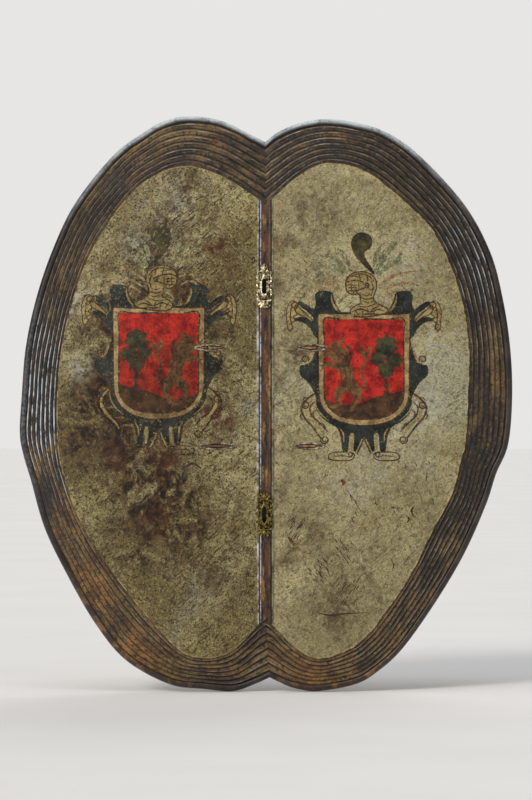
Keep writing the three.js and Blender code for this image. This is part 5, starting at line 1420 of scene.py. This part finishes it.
lip_leather = material("risen_panel_skin", lip_colour, between(.26, .42, 120), grain(520, 8, .7), .3)
hand = group((-69.5, -34.563, 0), x_axis=(.99658, .0826, 0))
forearm = group((61, -33.957, 0), x_axis=(.99517, -.09819, 0))
lace_z, lace_thickness, lace_back_y = 66.0, 2.4, 5.2
lace_sunk, lace_dive, lace_leg_y = .9, 2.2, (-7.5, -3, 1.5, 3.6)
leg_half_width, back_half_width = 3.0, 3.5
stitch_points, back_points = 31, 13
lip_beyond, lip_outwards, lip_raised, lip_half_thickness = 2.2, .8, .25, 1.2
for name, to_world, x, z, span, leather in (
        ("hand_upper", hand, -4, lace_z, 39, thong_leather), ("hand_lower", hand, 4, -lace_z, 46, dark_thong),
        ("forearm_upper", forearm, 2, lace_z, 37, thong_leather),
        ("forearm_lower", forearm, -2, -lace_z, 36, thong_leather)):
    leg = (span - lace_thickness) / 2
    s = np.linspace(-1, 1, stitch_points)
    flat = to_world(np.stack([x + leg * s, 0 * s, np.full(stitch_points, z)], -1))[:, [0, 2]] / mm
    stitch = on_face(flat, -lace_sunk - lace_dive * np.abs(s) ** 7)
    legs = [to_world([(x + side * leg, y, z) for y in lace_leg_y]) for side in (1, -1)]
    across_back = to_world([(x + leg * u, lace_back_y - .35 * abs(u) ** 6, z)
                            for u in np.linspace(.95, -.95, back_points)])
    path = np.concatenate([stitch, legs[0], across_back, legs[1][::-1]])
    leg_widths = np.full(len(lace_leg_y), leg_half_width)
    wide = np.concatenate([.6 + 1.1 * np.clip(1 - s ** 2, 0, 1) ** .8, leg_widths,
                           np.full(back_points, back_half_width), leg_widths])
    thong = sweep(path, rounded_section(wide, lace_thickness / 2), across=(0, 0, 1), closed=True)
    finished(thong, f"{name}_thong", "shield_body", leather, [f"{name}_lace"])
    centre = flat[stitch_points // 2]
    outline = evenly(slit_outline(*centre, leg + lip_beyond), 1.2)
    middle = outline.mean(axis=0)
    outwards = (outline - middle) / np.linalg.norm(outline - middle, axis=1, keepdims=True)
    turn = np.linspace(0, 2 * np.pi, len(outline), endpoint=False)
    thick = lip_half_thickness + .45 * np.sin(4 * turn + span) * np.cos(turn)
    lip = sweep(on_face(outline + lip_outwards * outwards, lip_raised), rounded_section(thick, thick, 1, 10),
                up=(0, -1, 0), closed=True)
    finished(lip, f"{name}_slit_lip", "shield_body", lip_leather)

# The arm straps: harness leather 28 mm wide and 3.4 mm thick with eased, creased edges. Each ends in a wider
# tab under a lace and stands off the hide in a stiff bow.
strap_half_width, strap_half_thickness, tab_half_width = 14.0, 1.7, 29.0
tab_end_z, tab_neck_z, tab_corner = 78.0, 53.0, 4.0
tab_y, wrap_radius = 2.0, 4.1
bow_half_z, bow_round_y, bow_round_z = 25.5, 20.0, 17.0
strap_edge = np.array([(1, 0), (.99, .6), (.955, .93), (.91, 1), (.875, .76), (.84, 1), (.45, 1), (0, 1)])
strap_top = np.concatenate([strap_edge, strap_edge[-2::-1] * (-1, 1)])
strap_shape = np.concatenate([strap_top, -strap_top[1:-1]])


def softened(corners, spacing=1.2, times=3):
    """A line through corners with evenly spaced points and its corners eased."""
    corners = np.array(corners, float)
    run = np.concatenate([[0], np.cumsum(np.linalg.norm(np.diff(corners, axis=0), axis=1))])
    even = np.linspace(0, run[-1], math.ceil(run[-1] / spacing) + 1)
    line = np.stack([np.interp(even, run, c) for c in corners.T], -1)
    for _ in range(times):
        line[1:-1] = (line[:-2] + 2 * line[1:-1] + line[2:]) / 4
    return line


def strap_path(run, side, rest):
    """A strap's line in its group's (y, z), from the tab's end over the bow and on through the rest."""
    angle = np.radians(np.arange(80, -1, -8))
    bow = np.stack([run - bow_round_y + bow_round_y * np.cos(angle),
                    bow_half_z + bow_round_z * np.sin(angle)], -1)
    tab = np.array([(tab_y, tab_end_z), (tab_y, 56.4), (4.6, tab_neck_z), (10.8, 46.2), (17.8, 42.2)])
    return softened(np.concatenate([np.concatenate([tab, bow]) * (1, side), rest]))


def strap(to_world, path):
    """The strap's mesh: its section widens into the tab, whose corners are rounded."""
    z = np.abs(path[:, 1])
    in_tab = (path[:, 0] < 6) * np.clip((z - tab_neck_z) / 3, 0, 1)
    widen = in_tab ** 2 * (3 - 2 * in_tab)
    into_corner = np.clip((z - (tab_end_z - tab_corner)) / tab_corner, 0, .995)
    corner = tab_corner * (1 - np.sqrt(1 - into_corner ** 2))
    half = strap_half_width + (tab_half_width - strap_half_width) * widen - corner
    section = strap_shape * np.stack([half, np.full(len(half), strap_half_thickness)], -1)[:, None]
    centres = to_world(np.insert(path, 0, 0, axis=1))
    across = to_world([1, 0, 0]) - to_world([0, 0, 0])
    return sweep(centres, section, across=across / mm)


def blended(mesh, name, replaced, openings=()):
    """A strap piece with the openings cut out of it and its placing baked into its points."""
    piece = finished(mesh, name, None, strap_leather, replaced)
    cut(piece, openings)
    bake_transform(piece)


# Harness leather that hands have greased. It looks smooth and warm brown, dark where it was held, with pale
# dry flecks that keep its sheen broken.
def strap_colour(tree):
    return coats(
        tree, "#6a4424",
        ("#8f6238", patches(tree, 16, .36, .64, 6, .6)),
        ("#4b2e18", patches(tree, 7, .48, .7, 5, .6, 1.2)),
        ("#a9814f", patches(tree, 120, .58, .72, 8, .72)))


strap_leather = material("strap_leather", strap_colour, between(.38, .6, 50), grain(520, 8, .7), .25)
hand_run, forearm_run, buckle_bar_z, buckle_end_z = 58.0, 70.0, -2.0, -28.0
tongue_slot_half_width, strap_knife_y = 3.3, (55, 85)
for side, end in ((1, "upper"), (-1, "lower")):
    down = [(hand_run, side * z) for z in (17, 9, 1, .15)]
    blended(strap(hand, strap_path(hand_run, side, down)), f"hand_{end}_leather",
            [f"hand_{end}_tab", "hand_strap"])
chape_y = forearm_run + wrap_radius
fold = [(forearm_run + wrap_radius * math.cos(a), buckle_bar_z + wrap_radius * math.sin(a))
        for a in np.radians([0, -30, -60, -90, -120, -150, -180])]
returned = [(forearm_run - wrap_radius, z) for z in (6, 14, 22)]
chape_rest = [(chape_y, 17), (chape_y, 7), *fold, *returned]
blended(strap(forearm, strap_path(chape_y, 1, chape_rest)), "forearm_upper_leather",
        ["forearm_upper_tab", "forearm_chape_strap"],
        [prism(round_slot(buckle_bar_z, tongue_slot_half_width, 7), *strap_knife_y, forearm)])
billet_inner_y, billet_y = 65.8, 78.0
billet_rest = [(66.6, -22.6), (71.9, -15.8), (77.2, -7.6), (billet_y, -2), (billet_y, 8), (billet_y, 20),
               (billet_y, 30), (billet_y, 34), (billet_y, 36)]
blended(strap(forearm, strap_path(billet_inner_y, -1, billet_rest)), "forearm_lower_leather",
        ["forearm_lower_tab", "forearm_billet_strap"],
        [prism(round_slot(-13.75, tongue_slot_half_width, 13.25), *strap_knife_y, forearm)])

# The grip: a strip of thin leather wound round the outer run of the hand strap in shingled laps, and glued.
# Each lap is skived, so its edge steps down onto the lap before it.
grip_half_length, grip_half_width, grip_half_depth = 24.0, 18.4, 6.1
grip_hole_half_width, grip_hole_half_depth, lap_pitch, lap_step = 14.4, 2.1, 7.5, 1.1
round_points, length_points = 96, 150


def squared(angle, power_across, power_up):
    """A circle's points pressed towards a square, more so the lower the powers."""
    c, s = np.cos(angle), np.sin(angle)
    return np.sign(c) * np.abs(c) ** power_across, np.sign(s) * np.abs(s) ** power_up


def grip_mesh():
    angle = np.linspace(0, 2 * np.pi, round_points, endpoint=False)
    z = np.linspace(-grip_half_length, grip_half_length, length_points)
    lap = np.mod(z[:, None] / lap_pitch + angle / (2 * np.pi), 1)
    under = lap_step * (1 - np.clip(lap / .9, 0, 1) ** .8) + .5 * np.clip((lap - .9) / .1, 0, 1)
    ends = 1.6 * np.clip((np.abs(z[:, None]) - grip_half_length + 2) / 2, 0, 1) ** 2
    inset = 1 - (under + ends) / grip_half_depth * .8
    across, up = squared(angle, .7, .8)
    outer = np.stack([(grip_half_width - (under + ends)) * across, hand_run + grip_half_depth * inset * up,
                      z[:, None] + 0 * angle], -1)
    across, up = squared(angle, .3, .3)
    hole = [np.broadcast_to(line, (2, round_points)) for line in (
        grip_hole_half_width * across, hand_run + grip_hole_half_depth * up)]
    hole_ends = np.array([[grip_half_length - .8], [.8 - grip_half_length]]) + 0 * angle
    rings = np.concatenate([outer, np.stack([*hole, hole_ends], -1)])
    index = np.arange(rings[..., 0].size).reshape(rings.shape[:2])
    index = np.concatenate([index, index[:, :1]], axis=1)
    return closed_mesh(hand(rings), quads(np.concatenate([index, index[:1]])))[0]


# Thin leather, dyed dark and rubbed by the hand: low sheen, with lighter brown where the dye has gone
def grip_colour(tree):
    return coats(
        tree, "#3a2214",
        ("#5f3a20", patches(tree, 26, .36, .64, 6, .6)),
        ("#7f5532", patches(tree, 110, .56, .72, 8, .7)))


grip_leather = material("grip_wrap_leather", grip_colour, between(.34, .55, 60), grain(480, 8, .7), .3)
finished(grip_mesh(), "hand_grip_leather", "hand_loop_strap", grip_leather,
         ["hand_grip_wrap"])

# The buckle: a brass frame forged from round bar, a tongue bent round its bar, and a leather keeper that
# holds the billet's tail down.
buckle_half_width, frame_radius, buckle_corner = 17.0, 1.9, 3.5
buckle_relief = .7  # how clean its brass is, between grimy at 0 and worn clean at 1


def rounded_loop(half_x, low, high, radius, parts=9):
    """A closed line round a rectangle with round corners."""
    corners = []
    for cx, cz, start in ((half_x, high, 0), (-half_x, high, 90), (-half_x, low, 180), (half_x, low, 270)):
        middle = np.array([cx - math.copysign(radius, cx), cz - (radius if cz == high else -radius)])
        angle = np.radians(start + np.linspace(0, 90, parts))
        corners.append(middle + radius * np.stack([np.cos(angle), np.sin(angle)], -1))
    return evenly(np.concatenate(corners), 1.5)


buckle_line = rounded_loop(buckle_half_width, buckle_end_z, buckle_bar_z, buckle_corner)
moulded = frame_radius + .22 * np.cos(buckle_line[:, 0] * 1.1) ** 8 * (buckle_line[:, 1] < buckle_end_z + 1)
frame_mesh = sweep(forearm(np.insert(buckle_line, 1, forearm_run, axis=1)),
                   rounded_section(moulded, moulded, 1, 16),
                   up=forearm([0, 1, 0]) / mm - forearm([0, 0, 0]) / mm, closed=True)
finished(frame_mesh, "buckle_bar_frame", "forearm_strap", dull_brass, ["buckle_frame"],
         {"relief": np.full(len(frame_mesh.vertices), buckle_relief)})
eye_radius, tongue_points = 3.25, 90
eye = [(forearm_run + eye_radius * math.cos(a), buckle_bar_z + eye_radius * math.sin(a))
       for a in np.radians(np.arange(280, -1, -20))]
share_of_tongue = np.linspace(0, 1, tongue_points)
tongue_line = along_curve(np.array(eye + [(73.5, -12), (73.45, -22), (73.4, -28), (72.9, -30.8)]),
                          share_of_tongue)
tongue_mesh = sweep(forearm(np.insert(tongue_line, 0, 0, axis=1)), rounded_section(
    2.1 - .7 * share_of_tongue ** 3, .8 + .3 * np.clip(share_of_tongue * 3 - 1, 0, 1), .6),
    across=(forearm([1, 0, 0]) - forearm([0, 0, 0])) / mm)
finished(tongue_mesh, "buckle_bent_tongue", "tongue", polished_brass, ["buckle_tongue"],
         {"relief": np.full(len(tongue_mesh.vertices), buckle_relief)})
keeper_half_across, keeper_inner_y, keeper_outer_y, keeper_corner = 15.5, 62.7, 81.2, 2.2
keeper_z, keeper_half_height, keeper_half_wall = 13.0, 4.5, 1.0
keeper_line = rounded_loop(keeper_half_across, keeper_inner_y, keeper_outer_y, keeper_corner)
keeper_mesh = sweep(forearm(np.insert(keeper_line, 2, keeper_z, axis=1)),
                    strap_shape * (keeper_half_height, keeper_half_wall), across=(0, 0, 1), closed=True)
finished(keeper_mesh, "leather_keeper_loop", "keeper", harness_leather, ["strap_keeper"])

# The photographer's set: a pale floor under the shield and an even pale surround, lit by a broad soft key
# from the upper left and weaker fill from the right and from behind.
def stage_colour(tree):
    return coats(tree, "#e6e4e0", ("#e9e7e3", patches(tree, 3, .3, .7, 3)))


floor_mesh = bpy.data.meshes.new("floor")
floor_reach = 30.0
floor_corners = [(floor_reach * x, floor_reach * y, 0) for x, y in ((-1, -1), (1, -1), (1, 1), (-1, 1))]
floor_mesh.from_pydata(floor_corners, [], [(0, 1, 2, 3)])
floor = bpy.data.objects.new("floor", floor_mesh)
floor.location.z = packed_low.z - .0005
floor_mesh.materials.append(material("pale_floor", stage_colour, between(.7, .9, 4), specular=0))
bpy.context.scene.collection.objects.link(floor)

world = bpy.data.worlds.new("studio")
world.use_nodes = True
bpy.context.scene.world = world
sky = world.node_tree
light_path = add(sky, "ShaderNodeLightPath")
background = sky.nodes["Background"]
background.inputs["Color"].default_value = linear("#f2f1ef")
lighting_level, background_level = .22, .9
level = add(sky, "ShaderNodeMapRange", None, {
    "Value": light_path.outputs["Is Camera Ray"], "To Min": lighting_level,
    "To Max": background_level}).outputs["Result"]
sky.links.new(level, background.inputs["Strength"])

# Each lamp's name, strength, width in degrees, the way it shines and its colour
for name, strength, spread, towards, tint in (
        ("key", 1.75, 18, (.6, 1, -.7), "#fffaf2"), ("side_strip", .9, 12, (1.7, 1, -.1), "#eef3ff"),
        ("top", 1.0, 40, (.1, .25, -1), "#eef3ff"), ("fill", .45, 60, (-.9, 1, -.2), "#ffffff"),
        ("back", 1.0, 50, (-.3, -1, -.6), "#ffffff")):
    lamp = bpy.data.lights.new(name, "SUN")
    lamp.energy, lamp.angle, lamp.color = strength, math.radians(spread), linear(tint)[:3]
    held = bpy.data.objects.new(name, lamp)
    held.rotation_mode = "QUATERNION"
    held.rotation_quaternion = Vector(towards).to_track_quat("-Z", "Y")
    bpy.context.scene.collection.objects.link(held)

# The camera stands square to the face and far off, as in the photograph, where 800 pixels span 1083 mm.
# It looks a little to the right of the part's origin and below it, where the photograph's middle falls.
photo_height_mm, camera_distance = 1083.2, 6.0
camera_x_mm, camera_z_mm = .7, -4.1
camera_data = bpy.data.cameras.new("camera")
camera_data.sensor_width = 36.0
camera_data.lens = camera_data.sensor_width * camera_distance / (photo_height_mm * mm)
camera_data.clip_end = 100.0
camera = bpy.data.objects.new("camera", camera_data)
camera.location = (camera_x_mm * mm, -camera_distance, camera_z_mm * mm)
camera.rotation_euler = (math.radians(90), 0, 0)
bpy.context.scene.collection.objects.link(camera)
bpy.context.scene.camera = camera
bpy.context.scene.view_settings.view_transform = "Standard"
